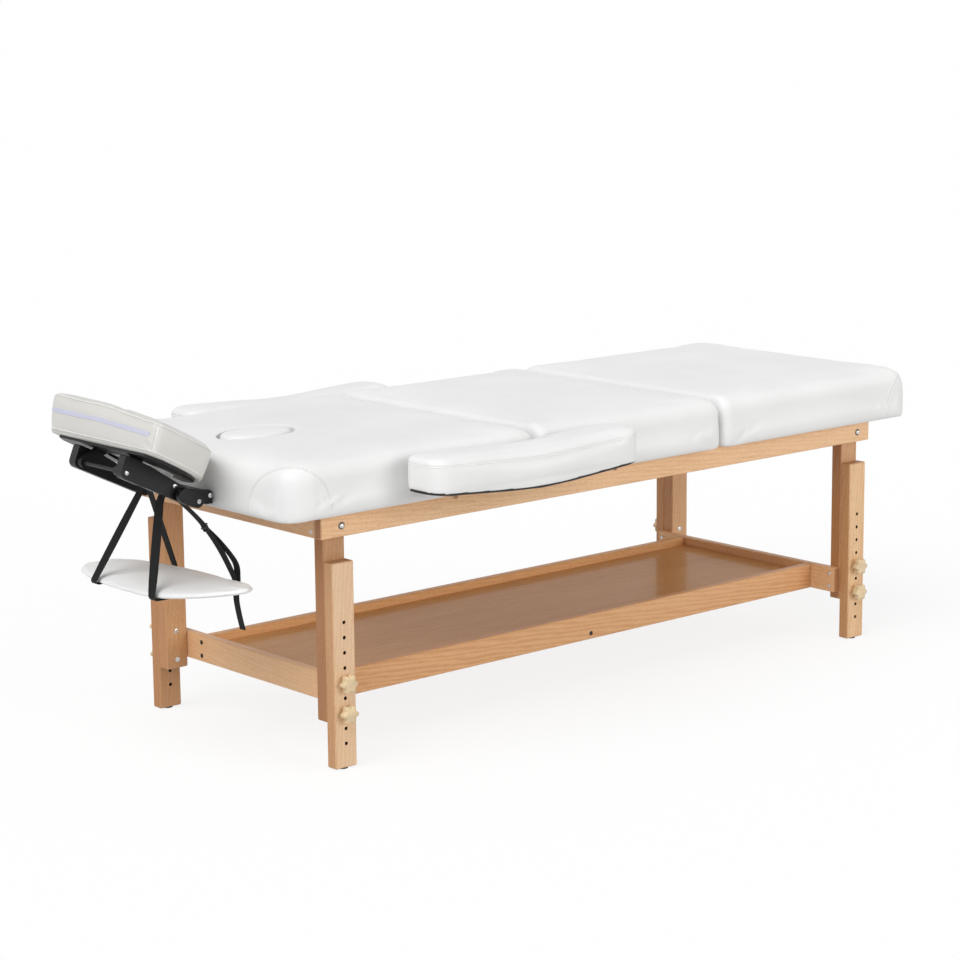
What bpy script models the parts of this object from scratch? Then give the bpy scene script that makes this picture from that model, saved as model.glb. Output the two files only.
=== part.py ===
"""Stationary massage table, head end at -X and front side at -Y, standing on z = 0.

A beech frame stands on four legs that slide on its posts and are pinned by star knobs. It carries a
shelf and a padded top in three sections. The face hole has a plug, two armrests plug in at the sides,
and a face cradle with a hanging arm sling plugs in at the head end.
"""

import math

import bmesh
import bpy
from mathutils import Matrix, Vector

# Clearances
GAP = 0.0003                    # between pieces that touch
BORE_GAP = 0.0003               # radial, round a pin or a rod in its bore
SOFT_GAP = 0.0015               # round the plug in its hole
OVERCUT = 0.01                  # how far a cutter runs past the face that it opens

# Timber frame
FRAME_LENGTH = 1.620            # over the posts, head to foot
FRAME_WIDTH = 0.595             # over the posts, front to rear
POST_WIDTH = 0.055              # along X, and the legs' width too
POST_THICK = 0.030              # along Y
POST_BOTTOM = 0.097
RAIL_TOP = 0.529
RAIL_HEIGHT = 0.048
RAIL_THICK = 0.020
STRETCHER_THICK = 0.020
STRETCHER_BOTTOM = 0.1165
STRETCHER_HEIGHT = 0.0595
TIMBER_EDGE = 0.002             # rounding of the timber's edges

# Shelf between the stretchers
SHELF_WIDTH = 0.448             # over its aprons
APRON_THICK = 0.020
APRON_HEIGHT = 0.058
PANEL_THICK = 0.012
PANEL_DEPTH = 0.018             # from the aprons' top edge down to the panel

# Sliding legs
LEG_THICK = 0.028
LEG_DROP = 0.098                # from the rails' top down to the legs' top
HOLE_COUNT = 9
HOLE_PITCH = 0.0316
HOLE_FIRST = 0.054              # height of the lowest hole
HOLE_DIAMETER = 0.0085
HOLE_SIDES = 8
KNOB_HOLES = (2, 4)             # the holes that hold knobs, counted from the lowest as 0
GLIDE_DIAMETER = 0.022
GLIDE_HEIGHT = 0.003

# Star knobs, each on a bolt that ends flush with the leg's inner face
KNOB_DIAMETER = 0.040
KNOB_THICK = 0.015
KNOB_LOBES = 6
KNOB_LOBE_DEPTH = 0.0045
KNOB_COLLAR_DIAMETER = 0.020
KNOB_COLLAR_HEIGHT = 0.005
BOLT_DIAMETER = 0.0075

# Padded top: foam and cover over a board with blocks that hold the pegs and rods
TOP_HEAD = -0.930               # X of the head end
TOP_FOOT = 0.958                # X of the foot end
TOP_WIDTH = 0.700
SECTION_SPLITS = (-0.265, 0.296)
SECTION_GAP = 0.004
PAD_HEIGHT = 0.117              # at the rim of the flat top
PAD_CROWN = 0.006               # rise of the middle over the rim
PAD_CORNER = 0.058              # plan rounding at the table's four corners
PAD_JOINT_CORNER = 0.018        # plan rounding beside a gap between sections
PAD_TOP_EDGE = 0.031            # rounding of the top edge
PAD_BOTTOM_EDGE = 0.005
PAD_DRAW_IN = 0.003             # how far the sides pull in between the corners
PAD_CROWN_INSET = 0.120         # from the rim in to where the crown is full
PAD_SKIRT = 0.014               # cover and foam beside the board
BOARD_THICK = 0.018
BLOCK_HEIGHT = 0.047            # from the board's underside to the top of its socket blocks
BLOCK_SETBACK = 0.002           # from the board's edge in to a block
BLOCK_WIDTH = 0.056
BLOCK_END_WALL = 0.020          # wood past the end of a peg or rod

# Face hole and its plug
FACE_HOLE_X = -0.751
FACE_HOLE_LENGTH = 0.182
FACE_HOLE_WIDTH = 0.126
FACE_HOLE_LEDGE = 0.012         # board left under the plug's rim
PLUG_CROWN = 0.003

# Armrests, each a pad on a board that dips in the middle, with two pegs under it
ARMREST_HEAD = -0.656           # X of the end nearest the head
ARMREST_LENGTH = 0.575
ARMREST_WIDTH = 0.112
ARMREST_CORNER = 0.040          # plan rounding of its corners
ARMREST_CLEAR = 0.009           # between it and the top
ARMREST_LOW_X = -0.361          # where it is lowest, midway between its pegs
ARMREST_DIP = 0.014             # from its height over the pegs down to there
ARMREST_BEND = 0.055            # half the length of the bend between its straight ends
ARMREST_PAD_THICK = 0.074       # at the lowest place
ARMREST_TAPER = 0.06            # share of it lost by the pegs
ARMREST_BOARD_THICK = 0.008
ARMREST_BOARD_INSET = 0.002
PEG_OFFSET = 0.223              # along X, from the lowest place to each peg
PEG_DIAMETER = 0.012
PEG_HEIGHT = 0.0257             # over the underside of the top
PEG_LENGTH = 0.180
PEG_REACH = 0.030               # past the armrest's middle line

# Face cradle: rods, base and arms
ROD_DIAMETER = 0.016
ROD_Y = 0.083
ROD_DEPTH = 0.088               # into the top's head end
CRADLE_HEIGHT = 0.023           # of the rods and the pivot, over the rails
PIVOT_REACH = 0.050             # past the top's head end
PIVOT_DIAMETER = 0.010
CROSSBAR_CLEAR = 0.006          # between it and the top
CROSSBAR_THICK = 0.017
CROSSBAR_HEIGHT = 0.024
CROSSBAR_WIDTH = 0.200
ROD_SEAT_DEPTH = 0.012
CHEEK_THICK = 0.0055
CHEEK_TAIL_LENGTH = 0.032       # from the pivot to the rounded end beside the table
CHEEK_TAIL_HEIGHT = 0.005
CHEEK_HEAD_LENGTH = 0.028
CHEEK_HEAD_HEIGHT = 0.020
CHEEK_TAIL_RADIUS = 0.013
CHEEK_HEAD_RADIUS = 0.008
PIVOT_BOSS_RADIUS = 0.014
ARM_THICK = 0.022
ARM_LENGTH = 0.155              # along X, from the pivot to the platform's hinge
ARM_RISE = 0.076
TILT_DIAMETER = 0.008
ARM_END_RADIUS = 0.014
ARM_SHOULDER_RADIUS = 0.006
ARM_SHOULDERS = (0.015, 0.070)  # along the cushion's plane, from its head end
ARM_SHOULDER_DROP = 0.011       # from the platform's underside down to a shoulder's middle
LEVER_THICK = 0.013
LEVER_LENGTH = 0.035
LEVER_TIP_RADIUS = 0.015

# Face cradle: platform and cushion, on a plane that tilts down to the table
CUSHION_BACK = 0.003            # from the hinge out to the plane's head end
CUSHION_RISE = 0.049
CUSHION_TILT = math.radians(28)
CUSHION_HALF_WIDTH = 0.186
CUSHION_LENGTH = 0.206
CUSHION_CORNER = 0.010          # rounding of the two corners at the head end
CUSHION_ROUND = 0.150           # rounding of the end beside the table
CUSHION_THICK = 0.080
CUSHION_LEAN = 0.30             # how far its head end leans out, per unit of height
CUSHION_SWEEP = math.radians(152)
FACE_OPENING_LENGTH = 0.100
FACE_OPENING_WIDTH = 0.150
FACE_OPENING_PLACE = 0.116      # from the head end to the opening's middle
PLATFORM_THICK = 0.005
PLATFORM_INSET = 0.012          # how far its rims lie inside the cushion's
EAR_THICK = 0.014
EAR_RADIUS = 0.010

# Arm sling: a padded leaf in two strap loops over a bar between the cradle's arms
SLING_BAR_REACH = 0.042         # from the pivot, along X
SLING_BAR_DIAMETER = 0.008
SLING_SHIFT_X = 0.011           # from the bar to the leaf's middle
SLING_SHIFT_Y = -0.043
SLING_DROP = 0.174              # from the pivot down to the leaf's middle
SLING_LENGTH = 0.520
SLING_WIDTH = 0.204
SLING_YAW = math.radians(-88)
SLING_RIM = 0.010               # thickness at the edge
SLING_CROWN = 0.006
SLING_POINT = 0.28              # how much sharper its front end is than its rear end
STRAP_WIDTH = 0.020
STRAP_THICK = 0.0018
STRAP_TOP_Y = (-0.043, 0.033)   # front loop, rear loop
STRAP_FOOT_Y = (-0.130, 0.057)
BUCKLE_PLACE = 0.36             # share of the way down the front loop's strap nearest the table
BUCKLE_LENGTH = 0.012
BUCKLE_WALL = 0.003
BUCKLE_GAP = 0.0004

# Fineness
ROUND_SIDES = 16
PIN_SIDES = 12

# Derived places
POST_Y = FRAME_WIDTH / 2                    # the posts' outer faces
POST_X = FRAME_LENGTH / 2                   # the posts' end faces
LEG_Y = POST_Y + GAP
LEG_TOP = RAIL_TOP - LEG_DROP
RAIL_BOTTOM = RAIL_TOP - RAIL_HEIGHT
PAD_BOTTOM = RAIL_TOP + GAP
BOARD_TOP = PAD_BOTTOM + BOARD_THICK
BLOCK_TOP = PAD_BOTTOM + BLOCK_HEIGHT
PAD_RIM = PAD_BOTTOM + PAD_HEIGHT
ROD_INNER_X = TOP_HEAD + ROD_DEPTH
CRADLE_Z = RAIL_TOP + CRADLE_HEIGHT
PIVOT_X = TOP_HEAD - PIVOT_REACH
CROSSBAR_X = (TOP_HEAD - CROSSBAR_CLEAR - CROSSBAR_THICK, TOP_HEAD - CROSSBAR_CLEAR)
CHEEK_TAIL = (PIVOT_X + CHEEK_TAIL_LENGTH, CRADLE_Z + CHEEK_TAIL_HEIGHT)
CHEEK_HEAD = (PIVOT_X - CHEEK_HEAD_LENGTH, CRADLE_Z + CHEEK_HEAD_HEIGHT)
TILT_X = PIVOT_X - ARM_LENGTH
TILT_Z = CRADLE_Z + ARM_RISE
CUSHION_EDGE = (TILT_X - CUSHION_BACK, TILT_Z + CUSHION_RISE)
ARM_LINE = Vector((PIVOT_X - TILT_X, CRADLE_Z - TILT_Z))
CHEEK_OUTER_Y = CROSSBAR_WIDTH / 2
ARM_OUTER_Y = CHEEK_OUTER_Y - CHEEK_THICK - GAP
ARM_INNER_Y = ARM_OUTER_Y - ARM_THICK
SLING_BAR_X = PIVOT_X - SLING_BAR_REACH
SLING_BAR_Z = TILT_Z + ARM_LINE.y * (SLING_BAR_X - TILT_X) / ARM_LINE.x
ARMREST_Y = TOP_WIDTH / 2 + ARMREST_CLEAR + ARMREST_WIDTH / 2
SLING_CENTRE = (SLING_BAR_X + SLING_SHIFT_X, SLING_SHIFT_Y, CRADLE_Z - SLING_DROP)
PEG_X = (ARMREST_LOW_X - PEG_OFFSET, ARMREST_LOW_X + PEG_OFFSET)
PEG_OUTER_Y = ARMREST_Y + PEG_REACH         # the end under the armrest
PEG_Z = PAD_BOTTOM + PEG_HEIGHT

for old in list(bpy.data.objects):
    bpy.data.objects.remove(old, do_unlink=True)

parts = bpy.data.collections.new("massage_table")
cutters = bpy.data.collections.new("cutters")
for collection in (parts, cutters):
    bpy.context.scene.collection.children.link(collection)


def material(name, colour, roughness, metallic=0.0):
    """A Principled material."""
    made = bpy.data.materials.new(name)
    made.use_nodes = True
    shader = made.node_tree.nodes["Principled BSDF"]
    shader.inputs["Base Color"].default_value = (*colour, 1.0)
    shader.inputs["Roughness"].default_value = roughness
    shader.inputs["Metallic"].default_value = metallic
    made.diffuse_color = (*colour, 1.0)
    return made


BEECH = (0.66, 0.37, 0.16)
LEATHER = (0.84, 0.84, 0.82)
BLACK = (0.012, 0.012, 0.013)
FINISHES = {
    "beech": (BEECH, 0.42, 0.0),
    "shelf_beech": ((0.62, 0.36, 0.16), 0.15, 0.0),
    "leather": (LEATHER, 0.42, 0.0),
    "black_plastic": (BLACK, 0.38, 0.0),
    "webbing": ((0.010, 0.010, 0.011), 0.85, 0.0),
    "knob_plastic": ((0.66, 0.50, 0.31), 0.40, 0.0),
    "steel": ((0.62, 0.62, 0.63), 0.25, 1.0),
    "black_board": (BLACK, 0.70, 0.0),
}


def empty(name, place, parent=None):
    """An empty that marks a body's joint, at a place in the table's own frame."""
    made = bpy.data.objects.new(name, None)
    made.empty_display_size = 0.05
    parts.objects.link(made)
    made.parent = parent
    made["place"] = place
    origin = Vector(parent["place"]) if parent else Vector()
    made.location = Vector(place) - origin
    return made


table = empty("table_origin", (0, 0, 0))


def piece(name, bm, finish, parent=table, smooth=None):
    """Turn a bmesh in the table's frame into a named object under its body's empty."""
    mesh = bpy.data.meshes.new(name)
    bmesh.ops.recalc_face_normals(bm, faces=bm.faces)
    bmesh.ops.translate(bm, verts=bm.verts, vec=-Vector(parent["place"]))
    bm.to_mesh(mesh)
    bm.free()
    if smooth is not None:
        mesh.shade_smooth()
        mesh.set_sharp_from_angle(angle=math.radians(smooth))
    mesh.materials.append(material(name, *FINISHES[finish]))
    made = bpy.data.objects.new(name, mesh)
    parts.objects.link(made)
    made.parent = parent
    return made


def cutter(name, bm):
    """A hidden tool for Boolean modifiers."""
    mesh = bpy.data.meshes.new(name)
    bmesh.ops.recalc_face_normals(bm, faces=bm.faces)
    bm.to_mesh(mesh)
    bm.free()
    made = bpy.data.objects.new(name, mesh)
    cutters.objects.link(made)
    made.parent = table
    made.hide_render = True
    made.display_type = "WIRE"
    return made


def boolean(target, tool, operation="DIFFERENCE"):
    modifier = target.modifiers.new(tool.name, "BOOLEAN")
    modifier.operation = operation
    modifier.solver = "EXACT"
    modifier.object = tool


def bevel(target, width, segments=1, angle=50):
    modifier = target.modifiers.new("rounded_edges", "BEVEL")
    modifier.width = width
    modifier.segments = segments
    modifier.limit_method = "ANGLE"
    modifier.angle_limit = math.radians(angle)


def subdivide(target, levels):
    modifier = target.modifiers.new("soft_form", "SUBSURF")
    modifier.levels = levels
    modifier.render_levels = levels


def box(low, high):
    """A bmesh box between two corners."""
    bm = bmesh.new()
    size = Vector(high) - Vector(low)
    middle = (Vector(high) + Vector(low)) / 2
    bmesh.ops.create_cube(bm, size=1, matrix=Matrix.LocRotScale(middle, None, size))
    return bm


def rod(start, end, diameter, sides=PIN_SIDES):
    """A bmesh cylinder between two points."""
    bm = bmesh.new()
    axis = Vector(end) - Vector(start)
    turn = Vector((0, 0, 1)).rotation_difference(axis)
    place = Matrix.LocRotScale((Vector(start) + Vector(end)) / 2, turn, None)
    bmesh.ops.create_cone(bm, cap_ends=True, segments=sides, radius1=diameter / 2,
                          radius2=diameter / 2, depth=axis.length, matrix=place)
    return bm


def joined(*shapes):
    """Several shapes in one bmesh, for a cutter with separate bodies."""
    bm = bmesh.new()
    for shape in shapes:
        held = bpy.data.meshes.new("held")
        shape.to_mesh(held)
        shape.free()
        bm.from_mesh(held)
        bpy.data.meshes.remove(held)
    return bm


def hull_outline(circles, steps=ROUND_SIDES):
    """The convex outline round some circles, each (x, y, radius), as a ring of points."""
    points = set()
    for x, y, radius in circles:
        for step in range(steps):
            turn = math.tau * step / steps
            points.add((x + radius * math.cos(turn), y + radius * math.sin(turn)))
    ordered = sorted(points)

    def chain(run):
        kept = []
        for point in run:
            while len(kept) > 1:
                (ax, ay), (bx, by) = kept[-2], kept[-1]
                if (bx - ax) * (point[1] - ay) > (by - ay) * (point[0] - ax):
                    break
                kept.pop()
            kept.append(point)
        return kept[:-1]

    return chain(ordered) + chain(ordered[::-1])


def extruded(outlines, depth, place):
    """A flat outline, with any holes, given a depth along its own Z and then put in its place."""
    curve = bpy.data.curves.new("outline", "CURVE")
    curve.dimensions = "2D"
    curve.fill_mode = "BOTH"
    curve.extrude = depth / 2
    for outline in outlines:
        spline = curve.splines.new("POLY")
        spline.points.add(len(outline) - 1)
        for point, (x, y) in zip(spline.points, outline):
            point.co = (x, y, 0, 1)
        spline.use_cyclic_u = True
    holder = bpy.data.objects.new("outline", curve)
    bpy.context.scene.collection.objects.link(holder)
    shaped = holder.evaluated_get(bpy.context.evaluated_depsgraph_get())
    mesh = bpy.data.meshes.new_from_object(shaped)
    bm = bmesh.new()
    bm.from_mesh(mesh)
    bmesh.ops.remove_doubles(bm, verts=bm.verts, dist=0.000001)
    bmesh.ops.transform(bm, verts=bm.verts, matrix=place)
    bpy.data.objects.remove(holder)
    bpy.data.curves.remove(curve)
    bpy.data.meshes.remove(mesh)
    return bm


def upright(y_low, y_high):
    """Stand an outline drawn in X and Z between two Y places: its depth and its matrix."""
    stand = Matrix.Translation((0, (y_low + y_high) / 2, 0)) @ Matrix.Rotation(math.pi / 2, 4, "X")
    return y_high - y_low, stand


def swept_cage(stations):
    """A closed cage through rings of points, one ring for each station, capped at both ends."""
    bm = bmesh.new()
    rings = [[bm.verts.new(point) for point in ring] for ring in stations]
    count = len(rings[0])
    for ring, following in zip(rings, rings[1:]):
        for index in range(count):
            after = (index + 1) % count
            bm.faces.new((ring[index], ring[after], following[after], following[index]))
    bm.faces.new(rings[0][::-1])
    bm.faces.new(rings[-1])
    return bm


def crease_ring_points(bm, on_edge):
    """Keep the edges whose two ends both pass a test crisp under subdivision."""
    layer = bm.edges.layers.float.new("crease_edge")
    for edge in bm.edges:
        if all(on_edge(vert.co) for vert in edge.verts):
            edge[layer] = 1.0


def cushion_section(half_width, height):
    """Half widths and heights round a padded band: flat below, full sides, rounded on top."""
    right = [(half_width, 0.0), (1.03 * half_width, 0.36 * height),
             (1.02 * half_width, 0.84 * height), (0.76 * half_width, 1.03 * height)]
    return right + [(-across, up) for across, up in reversed(right)]


def ellipse(centre_x, length, width, bottom, top, sides=2 * ROUND_SIDES):
    """An upright oval bmesh prism on the table's middle line, with no corner on that line."""
    bm = bmesh.new()
    place = (Matrix.LocRotScale((centre_x, 0, (bottom + top) / 2), None, (length, width, 1))
             @ Matrix.Rotation(math.pi / sides, 4, "Z"))
    bmesh.ops.create_cone(bm, cap_ends=True, segments=sides, radius1=0.5, radius2=0.5,
                          depth=top - bottom, matrix=place)
    return bm


# Frame: posts, rails, stretchers and the shelf
ENDS = (("head", -1), ("foot", 1))
SIDES = (("front", -1), ("rear", 1))


def ordered_box(x_pair, y_pair, z_pair):
    """A box from three pairs of places, each in either order."""
    pairs = [sorted(pair) for pair in (x_pair, y_pair, z_pair)]
    return box([pair[0] for pair in pairs], [pair[1] for pair in pairs])


def timber(name, x_pair, y_pair, z_pair, finish="beech"):
    made = piece(name, ordered_box(x_pair, y_pair, z_pair), finish)
    bevel(made, TIMBER_EDGE)
    return made


def build_frame():
    inner_x = POST_X - POST_WIDTH - GAP
    stretcher_top = STRETCHER_BOTTOM + STRETCHER_HEIGHT
    for side, y in SIDES:
        timber(f"side_rail_{side}", (-POST_X - RAIL_THICK, POST_X + RAIL_THICK),
               (y * LEG_Y, y * (LEG_Y + RAIL_THICK)), (RAIL_BOTTOM, RAIL_TOP))
        for end, x in ENDS:
            timber(f"post_{side}_{end}", (x * POST_X, x * (POST_X - POST_WIDTH)),
                   (y * POST_Y, y * (POST_Y - POST_THICK)), (POST_BOTTOM, RAIL_TOP))
    for end, x in ENDS:
        timber(f"end_rail_{end}", (x * (POST_X + GAP), x * (POST_X + RAIL_THICK)),
               (-POST_Y, POST_Y), (RAIL_BOTTOM, RAIL_TOP))
        timber(f"stretcher_{end}", (x * inner_x, x * (inner_x - STRETCHER_THICK)),
               (-POST_Y, POST_Y), (STRETCHER_BOTTOM, stretcher_top))
    shelf_x = inner_x - STRETCHER_THICK - GAP
    apron_top = STRETCHER_BOTTOM + APRON_HEIGHT
    panel_top = apron_top - PANEL_DEPTH
    apron_inner = SHELF_WIDTH / 2 - APRON_THICK
    for side, y in SIDES:
        timber(f"shelf_apron_{side}", (-shelf_x, shelf_x), (y * SHELF_WIDTH / 2, y * apron_inner),
               (STRETCHER_BOTTOM, apron_top))
    panel_y = apron_inner - GAP
    timber("shelf_panel", (-shelf_x, shelf_x), (-panel_y, panel_y),
           (panel_top - PANEL_THICK, panel_top), finish="shelf_beech")


# Legs, their glides and knobs
def star_knob(bm_name, centre, outward, parent):
    """A lobed knob with a collar and its bolt, on an axis along Y through a leg's hole."""
    bm = bmesh.new()
    sides = KNOB_LOBES * 6
    face = centre.y + outward * (LEG_THICK + GAP)
    middle = face + outward * (KNOB_COLLAR_HEIGHT + KNOB_THICK / 2)
    place = Matrix.Translation((centre.x, middle, centre.z)) @ Matrix.Rotation(math.pi / 2, 4, "X")
    bmesh.ops.create_cone(bm, cap_ends=True, segments=sides, radius1=1, radius2=1, depth=KNOB_THICK)
    for vert in bm.verts:
        turn = math.atan2(vert.co.y, vert.co.x)
        lobe = KNOB_LOBE_DEPTH * (1 - math.cos(KNOB_LOBES * turn)) / 2
        vert.co.xy = vert.co.xy.normalized() * (KNOB_DIAMETER / 2 - lobe)
    bmesh.ops.transform(bm, verts=bm.verts, matrix=place)
    knob = piece(bm_name, bm, "knob_plastic", parent, smooth=40)
    bevel(knob, 0.15 * KNOB_THICK, angle=75)
    inside = middle - outward * KNOB_THICK / 4
    collar = rod((centre.x, face, centre.z), (centre.x, inside, centre.z), KNOB_COLLAR_DIAMETER)
    boolean(knob, cutter(bm_name + "_collar", collar), "UNION")
    bolt = rod((centre.x, centre.y, centre.z), (centre.x, inside, centre.z), BOLT_DIAMETER, HOLE_SIDES)
    boolean(knob, cutter(bm_name + "_bolt", bolt), "UNION")


def build_leg(side, y, end, x):
    name = f"leg_{side}_{end}"
    middle_x = x * (POST_X - POST_WIDTH / 2)
    slide = empty(name + "_slide", (middle_x, y * LEG_Y, LEG_TOP), table)
    y_pair = (y * LEG_Y, y * (LEG_Y + LEG_THICK))
    body = ordered_box((x * POST_X, x * (POST_X - POST_WIDTH)), y_pair, (GLIDE_HEIGHT + GAP, LEG_TOP))
    leg = piece(name, body, "beech", slide)
    bevel(leg, TIMBER_EDGE)
    heights = [HOLE_FIRST + HOLE_PITCH * index for index in range(HOLE_COUNT)]
    outside = y * (LEG_Y + LEG_THICK + OVERCUT)
    holes = [rod((middle_x, y * (LEG_Y - OVERCUT), height), (middle_x, outside, height), HOLE_DIAMETER,
                 HOLE_SIDES) for height in heights]
    boolean(leg, cutter(name + "_holes", joined(*holes)))
    glide_y = sum(y_pair) / 2
    glide = rod((middle_x, glide_y, 0), (middle_x, glide_y, GLIDE_HEIGHT), GLIDE_DIAMETER)
    piece(f"glide_{side}_{end}", glide, "black_plastic", slide, smooth=40)
    for place, hole in zip(("lower", "upper"), KNOB_HOLES):
        knob_name = f"knob_{side}_{end}_{place}"
        centre = Vector((middle_x, y * LEG_Y, heights[hole]))
        turning = empty(knob_name + "_turn", centre, slide)
        star_knob(knob_name, centre, y, turning)


# Padded top
def section_ends():
    """Name and X range of each section of the top."""
    half = SECTION_GAP / 2
    head_split, foot_split = SECTION_SPLITS
    return (("head", TOP_HEAD, head_split - half), ("middle", head_split + half, foot_split - half),
            ("foot", foot_split + half, TOP_FOOT))


def pad_outline(x_low, x_high, inset, draw_in):
    """A ring of points round a pad, with its corners rounded and its sides drawn in between them."""
    half = TOP_WIDTH / 2 - inset
    head_corner = PAD_CORNER if x_low == TOP_HEAD else PAD_JOINT_CORNER
    foot_corner = PAD_CORNER if x_high == TOP_FOOT else PAD_JOINT_CORNER
    x_low += inset
    x_high -= inset
    middle = (x_low + x_high) / 2
    ring = []
    for x, y, radius, first_turn in ((x_high, -half, foot_corner, -90), (x_high, half, foot_corner, 0),
                                     (x_low, half, head_corner, 90), (x_low, -half, head_corner, 180)):
        radius = max(radius - inset, PAD_BOTTOM_EDGE)
        centre_x = x - math.copysign(radius, x - middle)
        centre_y = y - math.copysign(radius, y)
        for step in range(4):
            turn = math.radians(first_turn + 30 * step)
            ring.append((centre_x + radius * math.cos(turn), centre_y + radius * math.sin(turn)))
        along_x = first_turn in (0, 180)
        for share in (0.3, 0.7):
            if along_x:
                ring.append((x + 2 * (middle - x) * share, y - math.copysign(draw_in, y)))
            else:
                ring.append((x - math.copysign(draw_in, x - middle), y * (1 - 2 * share)))
    return ring


def pad_cage(x_low, x_high):
    """Rings from the bottom edge up the sides, over the rounded top edge and in to the crown."""
    top_edge = [(PAD_RIM - PAD_TOP_EDGE * (1 - math.sin(turn)), PAD_TOP_EDGE * (1 - math.cos(turn)))
                for turn in (0, math.pi / 4, math.pi / 2)]
    levels = [(PAD_BOTTOM, PAD_BOTTOM_EDGE / 2, 0), (PAD_BOTTOM + PAD_BOTTOM_EDGE, 0, 0),
              (PAD_BOTTOM + PAD_HEIGHT / 3, 0, PAD_DRAW_IN)]
    levels += [(height, inset, 0) for height, inset in top_edge]
    levels.append((PAD_RIM + PAD_CROWN, PAD_CROWN_INSET, 0))
    return swept_cage([[(x, y, height) for x, y in pad_outline(x_low, x_high, inset, draw_in)]
                       for height, inset, draw_in in levels])


def board(x_low, x_high, grow=0.0):
    """A section's board, with corners that follow the pad's; grown and deepened, the space for it."""
    half = TOP_WIDTH / 2 - PAD_SKIRT + grow
    bm = box((x_low + PAD_SKIRT - grow, -half, PAD_BOTTOM - (OVERCUT if grow else 0)),
             (x_high - PAD_SKIRT + grow, half, BOARD_TOP + grow))
    corners = [edge for edge in bm.edges if abs(edge.verts[0].co.z - edge.verts[1].co.z) > BOARD_THICK / 2]
    bmesh.ops.bevel(bm, geom=corners, offset=PAD_CORNER - PAD_SKIRT + grow, segments=4, profile=0.5,
                    affect="EDGES")
    return bm


def socket_blocks(section, grow=0.0):
    """The blocks on a section's board that hold armrest pegs, and at the head end the cradle's rods."""
    half = BLOCK_WIDTH / 2 + grow
    z_pair = (PAD_BOTTOM + BOARD_THICK / 2, BLOCK_TOP + grow)
    inner = PEG_OUTER_Y - PEG_LENGTH - BLOCK_END_WALL - grow
    outer = TOP_WIDTH / 2 - PAD_SKIRT - BLOCK_SETBACK + grow
    x = PEG_X[0] if section == "head" else PEG_X[1]
    blocks = [ordered_box((x - half, x + half), (y * inner, y * outer), z_pair) for _, y in SIDES]
    if section == "head":
        x_pair = (TOP_HEAD + PAD_SKIRT + BLOCK_SETBACK - grow, ROD_INNER_X + BLOCK_END_WALL + grow)
        blocks += [ordered_box(x_pair, (y * ROD_Y - half, y * ROD_Y + half), z_pair) for _, y in SIDES]
    return joined(*blocks)


def build_top():
    peg_bores = [rod((x, y * (PEG_OUTER_Y + OVERCUT), PEG_Z),
                     (x, y * (PEG_OUTER_Y - PEG_LENGTH - GAP), PEG_Z),
                     PEG_DIAMETER + 2 * BORE_GAP) for x in PEG_X for _, y in SIDES]
    rod_bores = [rod((TOP_HEAD - OVERCUT, y * ROD_Y, CRADLE_Z), (ROD_INNER_X + GAP, y * ROD_Y, CRADLE_Z),
                     ROD_DIAMETER + 2 * BORE_GAP) for _, y in SIDES]
    bores = cutter("peg_and_rod_bores", joined(*peg_bores, *rod_bores))
    pad_hole = cutter("face_hole", ellipse(FACE_HOLE_X, FACE_HOLE_LENGTH, FACE_HOLE_WIDTH,
                                           PAD_BOTTOM, PAD_RIM + PAD_CROWN + OVERCUT))
    ledge = 2 * FACE_HOLE_LEDGE
    board_hole = cutter("board_hole", ellipse(FACE_HOLE_X, FACE_HOLE_LENGTH - ledge, FACE_HOLE_WIDTH - ledge,
                                              PAD_BOTTOM - OVERCUT, BOARD_TOP + OVERCUT))
    for name, x_low, x_high in section_ends():
        base = piece(f"{name}_base", board(x_low, x_high), "beech")
        pad = piece(f"{name}_pad", pad_cage(x_low, x_high), "leather", smooth=60)
        subdivide(pad, 1)
        boolean(pad, cutter(f"{name}_board_space", board(x_low, x_high, GAP)))
        if name == "head":
            boolean(pad, pad_hole)
            boolean(base, board_hole)
        if name != "foot":
            boolean(base, cutter(f"{name}_blocks", socket_blocks(name)), "UNION")
            boolean(pad, cutter(f"{name}_block_spaces", socket_blocks(name, GAP)))
            boolean(pad, bores)
            boolean(base, bores)


def build_plug():
    bottom = BOARD_TOP + GAP
    top = PAD_RIM + PAD_CROWN
    lift = empty("face_plug_lift", (FACE_HOLE_X, 0, bottom), table)
    bm = ellipse(FACE_HOLE_X, FACE_HOLE_LENGTH - 2 * SOFT_GAP, FACE_HOLE_WIDTH - 2 * SOFT_GAP, bottom, top,
                 ROUND_SIDES)
    lid = [face for face in bm.faces if face.normal.z > 0.9]
    for inset, rise in ((0.010, 0.0), (0.030, PLUG_CROWN)):
        bmesh.ops.inset_region(bm, faces=lid, thickness=inset, depth=rise)
    crease_ring_points(bm, lambda co: co.z < bottom + GAP)
    plug = piece("face_plug", bm, "leather", lift, smooth=60)
    subdivide(plug, 1)


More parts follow.
